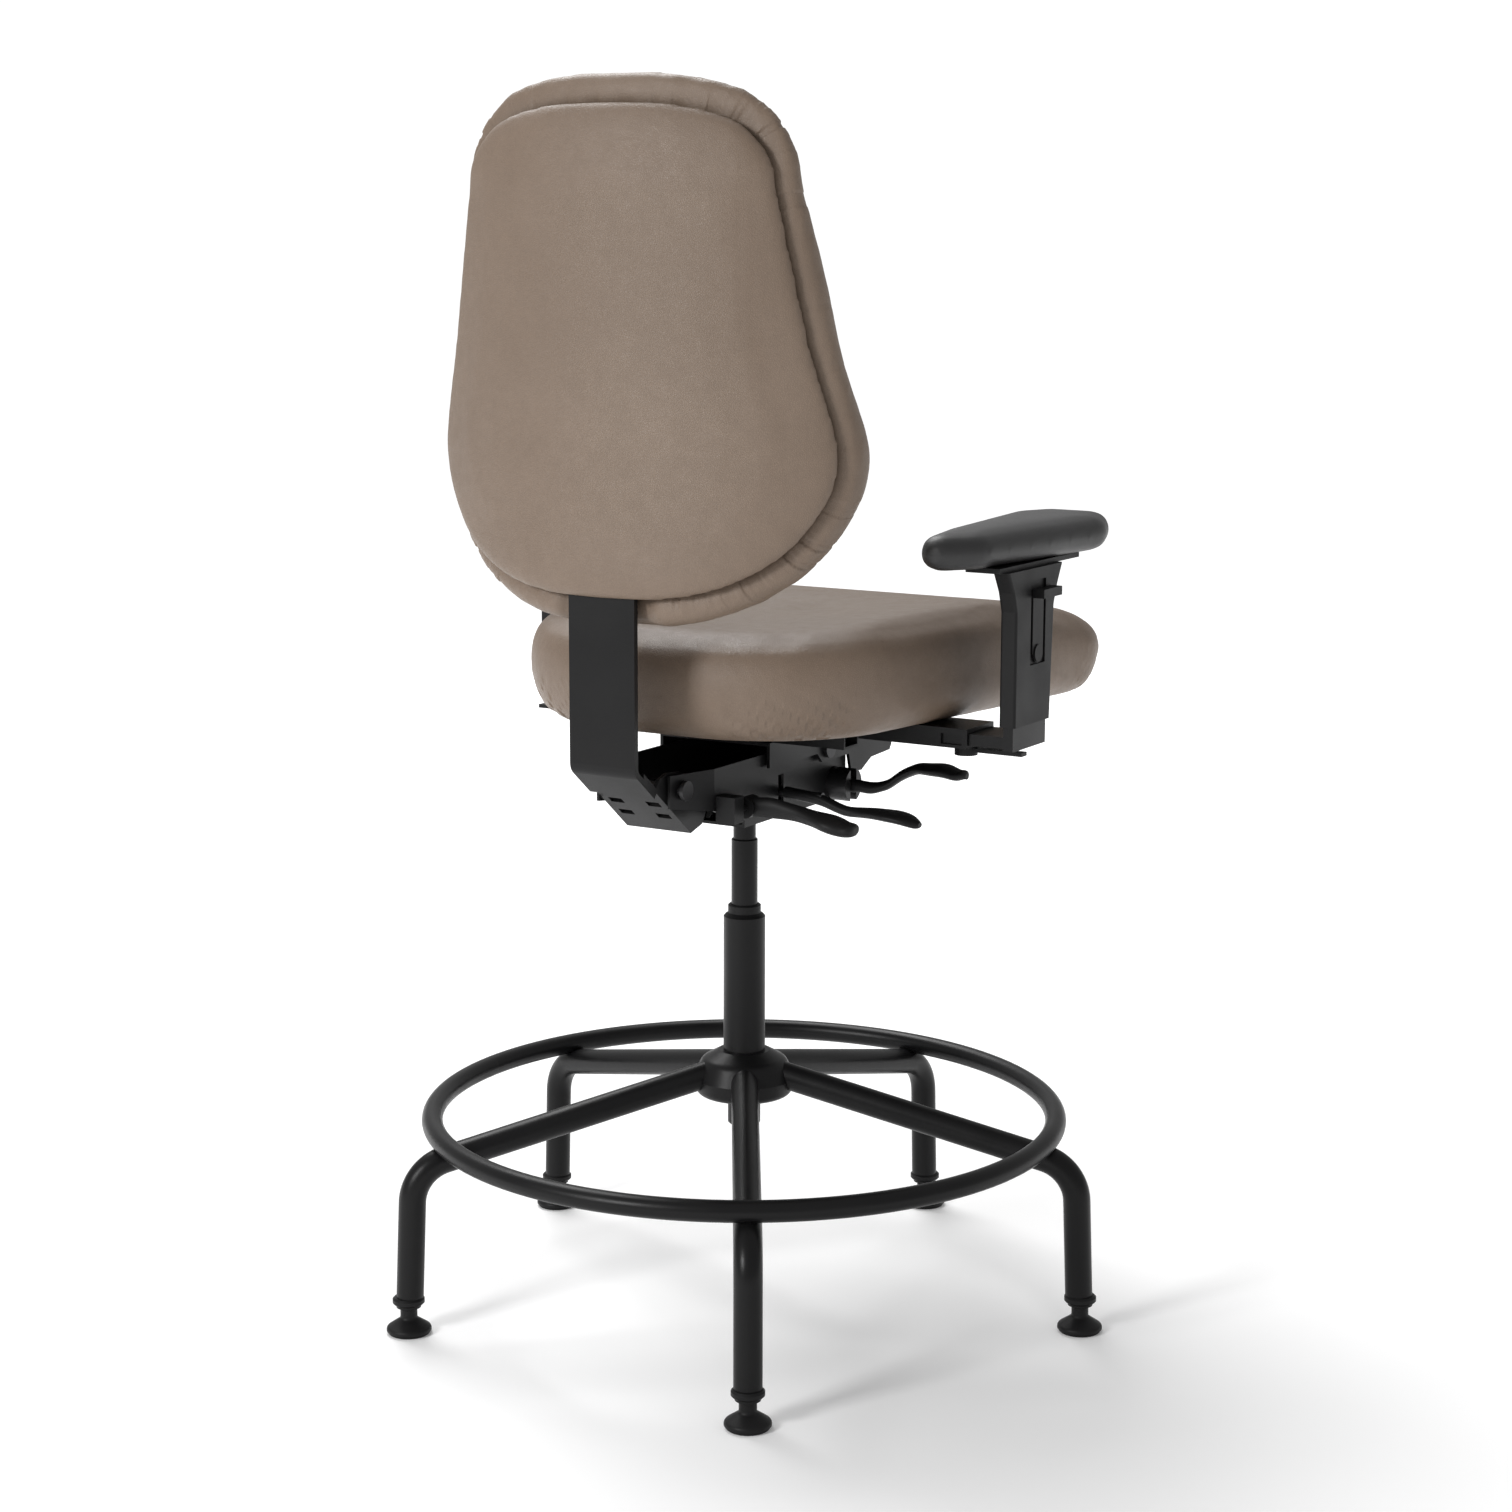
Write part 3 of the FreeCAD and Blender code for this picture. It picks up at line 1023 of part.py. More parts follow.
def make_arm(side, hand):
    inner = "arm_inner" if side < 0 else "(arm_inner - left_arm_in)"
    outer = f"{inner} + sleeve_thick"
    bar_inner = "arm_bar_inner" if side < 0 else "arm_bar_inner - left_arm_in"
    middle = "((-sleeve_rear - sleeve_front) / 2)"
    start = span(side, inner, outer)[0]
    sleeve = prism(f"sleeve_{hand}", "YZ_Plane", sleeve_outline(), "sleeve_thick", offset=start)
    round_edges(sleeve, "3", lambda e: not along((1, 0, 0), e) and e.BoundBox.ZLength > 5)
    hollow = box(f"sleeve_room_{hand}", span(side, f"{inner} + sleeve_wall", f"{outer} - sleeve_wall"),
                 ("-sleeve_front + sleeve_wall + 6", "-sleeve_rear - sleeve_wall"),
                 ("sleeve_bottom - 1", "post_top + 4"))
    swing = "latch_width / 2 + 5"
    recess = box(f"latch_room_{hand}", span(side, f"{outer} - latch - gap / 2", f"{outer} + 1"),
                 (f"latch_y - ({swing})", f"latch_y + {swing}"),
                 ("latch_z - button_d / 2 - 2", "latch_z + latch_rise + paddle_thick"))
    pin_x = span(side, f"{outer} - latch - gap / 2", f"{outer} - running")
    pin = rod(f"latch_pin_{hand}", "x", "lever_pin_d / 2", *pin_x, "latch_y", "latch_z")
    node(fuse(f"sleeve_parts_{hand}", cut(f"sleeve_{hand}", sleeve, hollow, recess), pin),
         f"arm_sleeve_{hand}")

    # latch: a plate in the sleeve's side, a button at its pivot and a paddle at its top
    plate_x = span(side, f"{outer} - latch", outer)
    plate = box(f"latch_plate_{hand}", plate_x, ("latch_y - latch_width / 2", "latch_y + latch_width / 2"),
                ("latch_z", "latch_z + latch_rise"))
    foot = rod(f"latch_foot_{hand}", "x", "latch_width / 2 - 2", *plate_x, "latch_y", "latch_z")
    button = rod(f"button_{hand}", "x", "button_d / 2", *span(side, f"{outer} - latch", f"{outer} + 1.5"),
                 "latch_y", "latch_z")
    neck = box(f"paddle_neck_{hand}", span(side, f"{outer} - latch", f"{outer} + 2 * gap"),
               ("latch_y - latch_width / 2", "latch_y + latch_width / 2"),
               ("latch_z + latch_rise - paddle_thick", "latch_z + latch_rise"))
    paddle = box(f"paddle_{hand}", span(side, f"{outer} + gap", f"{outer} + paddle_out"),
                 ("latch_y + latch_width / 2 - paddle_length", "latch_y + latch_width / 2"),
                 ("latch_z + latch_rise - paddle_thick", "latch_z + latch_rise"))
    bore = rod(f"latch_bore_{hand}", "x", "lever_pin_d / 2 + running",
               *span(side, f"{outer} - latch - 1", outer),
               "latch_y", "latch_z")
    latch = fuse(f"latch_parts_{hand}", plate, foot, button, neck, paddle)
    node(cut(f"latch_{hand}", latch, bore), f"arm_latch_{hand}")

    # bar under the seat and the post that the sleeve slides on
    post_x = (f"{inner} + sleeve_wall + gap", f"{outer} - sleeve_wall - gap")
    bar_y = (f"{middle} - arm_bar_half", f"{middle} + arm_bar_half")
    bar = box(f"bar_{hand}", span(side, bar_inner, post_x[1]), bar_y,
              ("arm_bar_bottom", "arm_bar_bottom + arm_bar"))
    post = box(f"post_{hand}", span(side, *post_x),
               ("-sleeve_front + sleeve_wall + 6 + gap", "-sleeve_rear - sleeve_wall - gap"),
               ("arm_bar_bottom", "post_top"))
    node(fuse(f"bar_parts_{hand}", bar, post), f"arm_bar_{hand}")

    # channel under the seat pan that the bar slides in
    wall = "channel_wall + gap"
    channel = box(f"channel_{hand}", span(side, "channel_inner", "channel_outer"),
                  (f"{bar_y[0]} - ({wall})", f"{bar_y[1]} + {wall}"),
                  (f"arm_bar_bottom - ({wall})", "pan_bottom"))
    room = box(f"channel_room_{hand}", span(side, "channel_inner - 1", "channel_outer + 1"),
               (f"{bar_y[0]} - gap", f"{bar_y[1]} + gap"),
               ("arm_bar_bottom - gap", "arm_bar_bottom + arm_bar + gap"))
    window = box(f"window_{hand}", span(side, "channel_outer - 30", "channel_outer - 6"),
                 (f"{bar_y[1]} - 2", f"{bar_y[1]} + 12"), ("arm_bar_bottom", "arm_bar_bottom + arm_bar - 1"))
    node(cut(f"channel_{hand}", channel, room, window), f"arm_channel_{hand}")

    # width lock: a knob under the channel with a thumb lever
    top = f"arm_bar_bottom - ({wall}) - running"
    sign = "1" if side > 0 else "-1"
    knob = rod(f"knob_{hand}", "z", "knob_d / 2", f"{top} - knob", top, f"{sign} * knob_x", middle)
    thumb = box(f"thumb_{hand}", span(side, "knob_x", "knob_x + knob_lever"),
                (f"{middle} - 6", f"{middle} + 6"), (f"{top} - 7", f"{top} - 3"))
    node(fuse(f"width_lock_parts_{hand}", knob, thumb), f"arm_width_lock_{hand}")

    # base plate and pad
    plate = box(f"pad_plate_{hand}", span(side, f"{inner} - 26", f"{outer} - 6"), ("-170", "15"),
                ("sleeve_top", "pad_bottom"))
    node(plate, f"arm_pad_base_{hand}")
    points = [(f"{side} * ({inner} + {x})", f"{y}") for x, y in PAD_OUTLINE]
    pad_body = prism(f"pad_{hand}", "XY_Plane", points, "pad_top - pad_bottom", offset="pad_bottom")
    round_edges(pad_body, "pad_corner", lambda e: along((0, 0, 1), e))
    round_edges(pad_body, "pad_round",
                lambda e: at_height(number("pad_top"), e) or at_height(number("pad_bottom"), e))
    node(pad_body, f"arm_pad_{hand}")


ring_tool = make_ring()
make_hub()
for leg in range(LEGS):
    make_leg(leg, ring_tool)
    make_foot(leg)
make_column()
make_mechanism()
make_levers()
make_seat()
make_back_bar()
make_bracket()
make_guide()
make_back()
make_arm(-1, "right")
make_arm(1, "left")
doc.recompute()

for obj in doc.Objects:
    if "Invalid" in obj.State or "Error" in obj.State:
        raise ValueError(f"{obj.Label} failed: {obj.State}")
for obj in nodes:
    if obj.Shape.isNull() or not obj.Shape.isValid() or not obj.Shape.Solids:
        raise ValueError(f"{obj.Label} has no valid solid")

os.makedirs("parts", exist_ok=True)
for obj in nodes:
    obj.Shape.exportStep(f"parts/{obj.Label}.step")
    box_size = obj.Shape.BoundBox
    print(f"{obj.Label:26s} {len(obj.Shape.Solids)} solid  {obj.Shape.Volume / 1000:9.1f} cm3  "
          f"x {box_size.XMin:7.1f} {box_size.XMax:7.1f}  y {box_size.YMin:7.1f} {box_size.YMax:7.1f}  "
          f"z {box_size.ZMin:7.1f} {box_size.ZMax:7.1f}")
print(len(nodes), "nodes")
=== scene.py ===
import json
import math

import bmesh
import bpy
import numpy as np
from mathutils import Matrix, Vector, kdtree, noise


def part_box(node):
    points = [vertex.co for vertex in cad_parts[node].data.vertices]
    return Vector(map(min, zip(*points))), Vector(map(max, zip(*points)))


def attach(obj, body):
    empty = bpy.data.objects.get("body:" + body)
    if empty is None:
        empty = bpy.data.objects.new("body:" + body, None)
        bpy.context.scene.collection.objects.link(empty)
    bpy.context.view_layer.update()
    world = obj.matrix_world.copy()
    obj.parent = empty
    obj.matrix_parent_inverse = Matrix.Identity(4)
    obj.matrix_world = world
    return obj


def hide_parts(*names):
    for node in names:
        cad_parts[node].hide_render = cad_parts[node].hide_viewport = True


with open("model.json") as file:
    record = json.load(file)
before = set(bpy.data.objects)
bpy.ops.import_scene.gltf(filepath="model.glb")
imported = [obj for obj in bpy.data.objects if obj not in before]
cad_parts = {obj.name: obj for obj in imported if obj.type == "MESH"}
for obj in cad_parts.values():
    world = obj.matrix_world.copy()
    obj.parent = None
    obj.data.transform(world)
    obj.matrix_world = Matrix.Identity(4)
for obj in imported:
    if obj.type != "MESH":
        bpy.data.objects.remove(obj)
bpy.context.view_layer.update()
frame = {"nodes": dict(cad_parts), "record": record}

# Drafting chair: the upholstery, materials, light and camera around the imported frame.
# Metres, +Z up; the sitter faces -Y, so the back rest is on the +Y side.


# Small mathematics

def clamp(value, low=0.0, high=1.0):
    return max(low, min(high, value))


def ease(low, high, value):
    """0 below low, 1 above high, and smooth between; low may be above high."""
    t = clamp((value - low) / (high - low))
    return t * t * (3 - 2 * t)


def closed_curve(points, count):
    """A smooth closed curve through plane points, as evenly spaced points."""
    dense = []
    n = len(points)
    for i in range(n):
        a, b, c, d = (Vector(points[(i + k - 1) % n]) for k in range(4))
        for j in range(40):
            t = j / 40
            dense.append(0.5 * ((2 * b) + (c - a) * t + (2 * a - 5 * b + 4 * c - d) * t * t
                                + (3 * b - a - 3 * c + d) * t ** 3))
    return spaced(dense, count)


def spaced(dense, count):
    """Evenly spaced points along a closed line."""
    lengths = [0.0]
    for a, b in zip(dense, dense[1:] + dense[:1]):
        lengths.append(lengths[-1] + (b - a).length)
    found = []
    i = 0
    for k in range(count):
        want = lengths[-1] * k / count
        while lengths[i + 1] < want:
            i += 1
        t = (want - lengths[i]) / (lengths[i + 1] - lengths[i])
        found.append(dense[i].lerp(dense[(i + 1) % len(dense)], t))
    return found


def rounded_polygon(corners, radii, count):
    """A polygon with an arc at each corner, as evenly spaced points."""
    dense = []
    n = len(corners)
    for i in range(n):
        before, here, after = (Vector(corners[(i + k) % n]) for k in (-1, 0, 1))
        back = (before - here).normalized()
        on = (after - here).normalized()
        half = back.angle(on) / 2
        reach = radii[i] / math.tan(half)
        centre = here + (back + on).normalized() * (radii[i] / math.sin(half))
        start, end = here + back * reach - centre, here + on * reach - centre
        sweep = start.angle(end)
        for j in range(25):
            t = j / 24
            arm = (start * math.sin((1 - t) * sweep) + end * math.sin(t * sweep)) / math.sin(sweep)
            dense.append(centre + arm)
    return spaced(dense, count)


def inset_ring(ring, distance):
    """The ring moved inwards, square to itself. Rings run counter-clockwise."""
    moved = []
    n = len(ring)
    for i, point in enumerate(ring):
        run = (ring[(i + 1) % n] - ring[i - 1]).normalized()
        moved.append(point + Vector((-run.y, run.x)) * distance)
    return moved


def shrink_ring(ring, centre, keep):
    return [centre + (point - centre) * keep for point in ring]


# Mesh tools

CLOTH_FRAMES = 20


def new_object(name, vertices, faces):
    mesh = bpy.data.meshes.new(name)
    mesh.from_pydata([tuple(v) for v in vertices], [], faces)
    mesh.validate()
    obj = bpy.data.objects.new(name, mesh)
    bpy.context.scene.collection.objects.link(obj)
    mesh.polygons.foreach_set("use_smooth", [True] * len(mesh.polygons))
    return obj


def loft(name, rings, first_end=None, last_end=None):
    """Quads between rings of equal length, each open end closed by a fan to a point."""
    count = len(rings[0])
    vertices = [v for ring in rings for v in ring]
    faces = []
    for k in range(len(rings) - 1):
        for i in range(count):
            j = (i + 1) % count
            faces.append((k * count + i, k * count + j, (k + 1) * count + j, (k + 1) * count + i))
    if first_end is not None:
        vertices.append(first_end)
        faces += [((i + 1) % count, i, len(vertices) - 1) for i in range(count)]
    if last_end is not None:
        vertices.append(last_end)
        base = (len(rings) - 1) * count
        faces += [(base + i, base + (i + 1) % count, len(vertices) - 1) for i in range(count)]
    obj = new_object(name, vertices, faces)
    tidy = bmesh.new()
    tidy.from_mesh(obj.data)
    bmesh.ops.recalc_face_normals(tidy, faces=tidy.faces)
    tidy.to_mesh(obj.data)
    tidy.free()
    return obj


def bake(obj):
    """Apply every modifier of an object."""
    shown = obj.evaluated_get(bpy.context.evaluated_depsgraph_get())
    mesh = bpy.data.meshes.new_from_object(shown)
    obj.modifiers.clear()
    obj.data = mesh
    mesh.polygons.foreach_set("use_smooth", [True] * len(mesh.polygons))


def remesh(obj, voxel):
    step = obj.modifiers.new("even", "REMESH")
    step.mode = "VOXEL"
    step.voxel_size = voxel
    step.use_smooth_shade = True
    bake(obj)
    soft = obj.modifiers.new("soften", "SMOOTH")
    soft.factor = 0.5
    soft.iterations = 3
    bake(obj)


def subdivide(obj, levels=1):
    finer = obj.modifiers.new("finer", "SUBSURF")
    finer.levels = levels
    finer.render_levels = levels
    bake(obj)


def plump(obj, voxel, pressure, cap, held, even=12):
    """Fill a cushion: a cloth skin under pressure, held where held(point) is true.

    Its moves are evened out between neighbours, and none is longer than cap."""
    remesh(obj, voxel)
    scene = bpy.context.scene
    group = obj.vertex_groups.new(name="held")
    group.add([v.index for v in obj.data.vertices if held(v.co)], 1.0, "REPLACE")
    before = [v.co.copy() for v in obj.data.vertices]
    cloth = obj.modifiers.new("skin", "CLOTH")
    settings = cloth.settings
    settings.quality = 5
    settings.mass = 0.3
    settings.tension_stiffness = 12
    settings.compression_stiffness = 6
    settings.shear_stiffness = 8
    settings.bending_stiffness = 0.6
    settings.use_pressure = True
    settings.uniform_pressure_force = pressure
    settings.vertex_group_mass = "held"
    settings.effector_weights.gravity = 0
    cloth.point_cache.frame_start = 1
    cloth.point_cache.frame_end = CLOTH_FRAMES
    for frame_number in range(1, CLOTH_FRAMES + 1):
        scene.frame_set(frame_number)
    shown = obj.evaluated_get(bpy.context.evaluated_depsgraph_get())
    after = [v.co.copy() for v in shown.to_mesh().vertices]
    shown.to_mesh_clear()
    obj.modifiers.clear()
    obj.vertex_groups.clear()
    scene.frame_set(1)
    moves = np.array([end - start for start, end in zip(before, after)])
    edges = np.array([edge.vertices for edge in obj.data.edges])
    share = 1.0 / (1 + np.bincount(edges.ravel(), minlength=len(moves)))[:, None]
    for _ in range(even):
        total = moves.copy()
        np.add.at(total, edges[:, 0], moves[edges[:, 1]])
        np.add.at(total, edges[:, 1], moves[edges[:, 0]])
        moves = total * share
    for vertex, start, move in zip(obj.data.vertices, before, moves):
        length = float(np.linalg.norm(move))
        if length > 1e-9:
            move = move * cap * math.tanh(length / cap) / length
        vertex.co = start + Vector(move)
    obj.data.update()


def push(obj, amount):
    """Move each vertex along its normal by amount(point, normal)."""
    moves = [amount(v.co, v.normal) for v in obj.data.vertices]
    places = [v.co + v.normal * d for v, d in zip(obj.data.vertices, moves)]
    for vertex, place in zip(obj.data.vertices, places):
        vertex.co = place
    obj.data.update()


def nearest_on(ring):
    """A search for the nearest of a plane ring's points: it gives that point's number and the distance."""
    tree = kdtree.KDTree(len(ring))
    for i, p in enumerate(ring):
        tree.insert((p.x, p.y, 0), i)
    tree.balance()

    def nearest(a, b):
        _, index, away = tree.find((a, b, 0))
        return index, away

    return nearest


def gathers(along, spacing, seed):
    """Uneven little folds along a line: 0 between them, up to 1 in their creases."""
    bend = 0.9 * noise.noise(Vector((along / spacing * 0.23, seed, 0.0)))
    height = 0.6 + 0.4 * noise.noise(Vector((along / spacing * 0.41, seed, 7.0)))
    return height * (0.5 + 0.5 * math.cos(2 * math.pi * (along / spacing + bend))) ** 2


# Materials

class Paint:
    """A node material under construction."""

    def __init__(self, name):
        self.material = bpy.data.materials.new(name)
        self.material.use_nodes = True
        self.nodes = self.material.node_tree.nodes
        self.links = self.material.node_tree.links
        self.shader = self.nodes["Principled BSDF"]
        self.place = self.nodes.new("ShaderNodeTexCoord").outputs["Object"]

    def add(self, kind, inputs=None, **settings):
        node = self.nodes.new("ShaderNode" + kind)
        for key, value in settings.items():
            setattr(node, key, value)
        for key, value in (inputs or {}).items():
            if isinstance(value, bpy.types.NodeSocket):
                self.links.new(value, node.inputs[key])
            else:
                node.inputs[key].default_value = value
        return node

    def noise(self, scale, detail=3.0, rough=0.5, place=None):
        return self.add("TexNoise", {"Vector": place or self.place, "Scale": scale, "Detail": detail,
                                     "Roughness": rough}).outputs["Fac"]

    def cells(self, scale, feature="DISTANCE_TO_EDGE", place=None):
        node = self.add("TexVoronoi", {"Vector": place or self.place, "Scale": scale}, feature=feature)
        return node.outputs["Distance"]

    def ramp(self, value, low, high, to_low=0.0, to_high=1.0):
        node = self.add("MapRange", {"Value": value, "From Min": low, "From Max": high,
                                     "To Min": to_low, "To Max": to_high})
        return node.outputs["Result"]

    def mix(self, factor, a, b):
        node = self.add("Mix", {"Factor": factor}, data_type="RGBA")
        for index, colour in ((6, a), (7, b)):
            if isinstance(colour, bpy.types.NodeSocket):
                self.links.new(colour, node.inputs[index])
            else:
                node.inputs[index].default_value = (*colour, 1)
        return node.outputs[2]

    def bump(self, height, strength, distance, after=None):
        inputs = {"Height": height, "Strength": strength, "Distance": distance}
        if after is not None:
            inputs["Normal"] = after
        return self.add("Bump", inputs).outputs["Normal"]

    def finish(self, **sockets):
        for key, value in sockets.items():
            socket = self.shader.inputs[key.replace("_", " ")]
            if isinstance(value, bpy.types.NodeSocket):
                self.links.new(value, socket)
            elif isinstance(value, tuple):
                socket.default_value = (*value, 1)
            else:
                socket.default_value = value
        return self.material


def powder_coat():
    paint = Paint("black_powder_coat")
    peel = paint.noise(900, 2, 0.6)
    broad = paint.noise(14, 3)
    colour = paint.mix(broad, (0.0045, 0.0045, 0.005), (0.0085, 0.0083, 0.0085))
    return paint.finish(Base_Color=colour, Metallic=0.0, Roughness=paint.ramp(broad, 0.3, 0.7, 0.30, 0.40),
                        Specular_IOR_Level=0.20, Normal=paint.bump(peel, 0.25, 0.0004))


def moulded_plastic():
    paint = Paint("black_plastic")
    grain = paint.cells(1400, "F1")
    broad = paint.noise(20, 3)
    colour = paint.mix(broad, (0.0045, 0.0045, 0.005), (0.0090, 0.0088, 0.0090))
    return paint.finish(Base_Color=colour, Roughness=paint.ramp(broad, 0.3, 0.7, 0.42, 0.52),
                        Specular_IOR_Level=0.22, Normal=paint.bump(grain, 0.2, 0.0003))


def dark_steel():
    paint = Paint("dark_zinc_steel")
    stretched = paint.add("Mapping", {"Vector": paint.place, "Scale": (1, 1, 0.08)}).outputs["Vector"]
    lines = paint.noise(1500, 2, 0.7, stretched)
    broad = paint.noise(30, 4)
    colour = paint.mix(broad, (0.030, 0.030, 0.032), (0.055, 0.054, 0.055))
    return paint.finish(Base_Color=colour, Metallic=0.85, Roughness=paint.ramp(lines, 0.3, 0.7, 0.30, 0.46),
                        Normal=paint.bump(lines, 0.12, 0.0002))


def stained_wood():
    paint = Paint("black_stained_plywood")
    stretched = paint.add("Mapping", {"Vector": paint.place, "Scale": (12, 1, 1)}).outputs["Vector"]
    grain = paint.noise(18, 6, 0.65, stretched)
    colour = paint.mix(grain, (0.012, 0.011, 0.010), (0.028, 0.025, 0.022))
    return paint.finish(Base_Color=colour, Roughness=0.6, Normal=paint.bump(grain, 0.3, 0.0005))


def taupe_cover():
    """Satin taupe upholstery: a fine pebbled grain with pores, and slow changes of tone."""
    paint = Paint("taupe_cover")
    shift = paint.add("TexNoise", {"Vector": paint.place, "Scale": 170.0, "Detail": 2.0}).outputs["Color"]
    scaled = paint.add("VectorMath", {0: shift}, operation="SCALE")
    scaled.inputs["Scale"].default_value = 0.0022
    moved = paint.add("VectorMath", {0: paint.place, 1: scaled.outputs["Vector"]},
                      operation="ADD").outputs["Vector"]
    pebbles = paint.cells(620, place=moved)
    creases = paint.ramp(pebbles, 0.0, 0.22)
    fine = paint.cells(1500, place=moved)
    broad = paint.noise(5.5, 4, 0.55)
    mottled = paint.noise(70, 4, 0.6)
    tone = paint.mix(paint.ramp(broad, 0.35, 0.65), (0.177, 0.127, 0.091), (0.204, 0.149, 0.109))
    tone = paint.mix(paint.ramp(mottled, 0.3, 0.75, 0.0, 0.35), tone, (0.152, 0.110, 0.080))
    # painted shade: the tone is darkened by up to 0.30 in the creases between the grain's pebbles, standing
    # in for the shadow in those small hollows
    tone = paint.mix(paint.ramp(creases, 0.0, 1.0, 0.30, 0.0), tone, (0.100, 0.072, 0.054))
    grain = paint.bump(creases, 0.30, 0.0005)
    grain = paint.bump(fine, 0.15, 0.0002, grain)
    grain = paint.bump(paint.noise(24, 5, 0.6), 0.10, 0.004, grain)
    rough = paint.ramp(mottled, 0.3, 0.7, 0.40, 0.50)
    return paint.finish(Base_Color=tone, Roughness=rough, Specular_IOR_Level=0.42, Normal=grain)


def pad_skin():
    paint = Paint("black_pad_skin")
    pebbles = paint.ramp(paint.cells(800), 0.0, 0.25)
    broad = paint.noise(12, 4)
    colour = paint.mix(broad, (0.012, 0.012, 0.0125), (0.020, 0.0195, 0.0195))
    return paint.finish(Base_Color=colour, Roughness=paint.ramp(broad, 0.3, 0.7, 0.40, 0.50),
                        Specular_IOR_Level=0.5, Normal=paint.bump(pebbles, 0.18, 0.0004))


def floor_paper():
    """Pale paper that glows a little further out, as a lit studio backdrop does."""
    paint = Paint("pale_floor")
    colour = paint.mix(paint.noise(0.8, 2), (0.90, 0.90, 0.905), (0.93, 0.93, 0.93))
    away = paint.add("VectorMath", {0: paint.place}, operation="LENGTH").outputs["Value"]
    glow = paint.ramp(away, 0.4, 4.0, 0.10, 0.65)
    return paint.finish(Base_Color=colour, Roughness=0.75, Specular_IOR_Level=0.2,
                        Emission_Color=(1.0, 1.0, 1.0),
                        Emission_Strength=glow, Normal=paint.bump(paint.noise(300, 2), 0.02, 0.0005))


FINISHES = {
    "black_paint": powder_coat(),
    "steel": dark_steel(),
    "plastic": moulded_plastic(),
    "taupe_cover": taupe_cover(),
    "pad_skin": pad_skin(),
    "board_wood": stained_wood(),
}

for part in frame["record"]["subparts"]:
    obj = frame["nodes"][part["node"]]
    material = FINISHES[part["material_slot"]]
    if not obj.data.materials:
        obj.data.materials.append(material)
    for place in obj.material_slots:
        place.material = material


def dress(obj, slot, body, *nodes, fill=None):
    """Give a new piece its finish, its body and the CAD nodes it stands for."""
    obj.data.materials.clear()
    obj.data.materials.append(FINISHES[slot])
    if nodes:
        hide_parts(*nodes)
    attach(obj, body)


# Seat cushion: a rounded trapezoid in plan, dished for the sitter, falling at the front

RING_POINTS = 220
CORNER_OUT = 0.0125
SEAT_REAR_HALF = 0.198
FRONT_CORNER, REAR_CORNER, LEAST_CORNER = 0.078, 0.180, 0.012

low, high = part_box("seat_cushion")
SEAT_BOTTOM = low[2]
SEAT_FRONT, SEAT_REAR = low[1], high[1]
SEAT_HALF = high[0]
SEAT_CENTRE = Vector((0, (SEAT_FRONT + SEAT_REAR) / 2))
PAN_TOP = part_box("seat_pan")[1][2]


def seat_ring(inset):
    """The seat's outline moved inwards. The front sides would meet CORNER_OUT beyond the widest point."""
    front_half, rear_half = SEAT_HALF + CORNER_OUT, SEAT_REAR_HALF
    lean = (front_half - rear_half) / (SEAT_REAR - SEAT_FRONT)
    rear, front = SEAT_REAR - inset, SEAT_FRONT + inset
    rear_half -= inset * (1 - lean)
    front_half -= inset * (1 + lean)
    corners = [(front_half, front), (rear_half, rear), (-rear_half, rear), (-front_half, front)]
    small, large = (max(radius - inset, LEAST_CORNER) for radius in (FRONT_CORNER, REAR_CORNER))
    return rounded_polygon(corners, [small, large, large, small], RING_POINTS)


def seat_surface(point):
    """How far the seat's top lies above or below its plain height."""
    side = abs(point.x) / SEAT_HALF
    along = (point.y - SEAT_FRONT) / (SEAT_REAR - SEAT_FRONT)
    fall = -0.024 * ease(0.36, 0.0, along)
    dish = -0.010 * ease(0.75, 0.1, side) * ease(0.25, 0.5, along) * ease(1.0, 0.75, along)
    wings = 0.004 * ease(0.45, 0.85, side) * ease(0.3, 0.6, along)
    return fall + dish + wings


def make_seat():
    recess = PAN_TOP - SEAT_BOTTOM + 0.0005
    profile = [(0.0515, recess), (0.0505, 0.002), (0.046, 0.0), (0.034, 0.002), (0.023, 0.008),
               (0.013, 0.017), (0.005, 0.030), (0.001, 0.044), (0.0, 0.058), (0.0015, 0.072), (0.005, 0.083),
               (0.011, 0.092), (0.020, 0.098), (0.034, 0.1020), (0.054, 0.104)]
    rings = []
    for inset, rise in profile:
        weight = ease(0.030, 0.104, rise)
        rings.append([Vector((p.x, p.y, SEAT_BOTTOM + rise + weight * seat_surface(p)))
                      for p in seat_ring(inset)])
    inner = seat_ring(profile[-1][0])
    for keep in (0.85, 0.68, 0.5, 0.32, 0.15):
        rings.append([Vector((p.x, p.y, SEAT_BOTTOM + profile[-1][1] + 0.001 + seat_surface(p)))
                      for p in shrink_ring(inner, SEAT_CENTRE, keep)])
    middle = Vector((SEAT_CENTRE.x, SEAT_CENTRE.y, rings[-1][0].z))
    under = Vector((SEAT_CENTRE.x, SEAT_CENTRE.y, SEAT_BOTTOM + recess))
    seat = loft("seat_upholstery", rings, under, middle)
    plump(seat, 0.006, 4.0, 0.007, lambda p: p.z < SEAT_BOTTOM + 0.014)
    subdivide(seat, 2)

    outline = seat_ring(0.0)
    step = (outline[1] - outline[0]).length
    nearest = nearest_on(outline)

    def folds(point, normal):
        if abs(normal.z) > 0.93 or point.z > SEAT_BOTTOM + 0.095:
            return 0.0
        index, _ = nearest(point.x, point.y)
        rear = ease(0.07, 0.13, point.y) * ease(0.06, 0.13, abs(point.x))
        front = 0.8 * ease(-0.25, -0.30, point.y) * ease(0.10, 0.22, abs(point.x))
        height = ease(0.070, 0.006, point.z - SEAT_BOTTOM)
        lean = (point.z - SEAT_BOTTOM) * 0.5 * (1 if point.x > 0 else -1)
        return -0.0026 * max(rear, front) * height * gathers(index * step + lean, 0.0115, 3.0)

    push(seat, folds)
    dress(seat, "taupe_cover", "seat", "seat_cushion", fill=0.85)


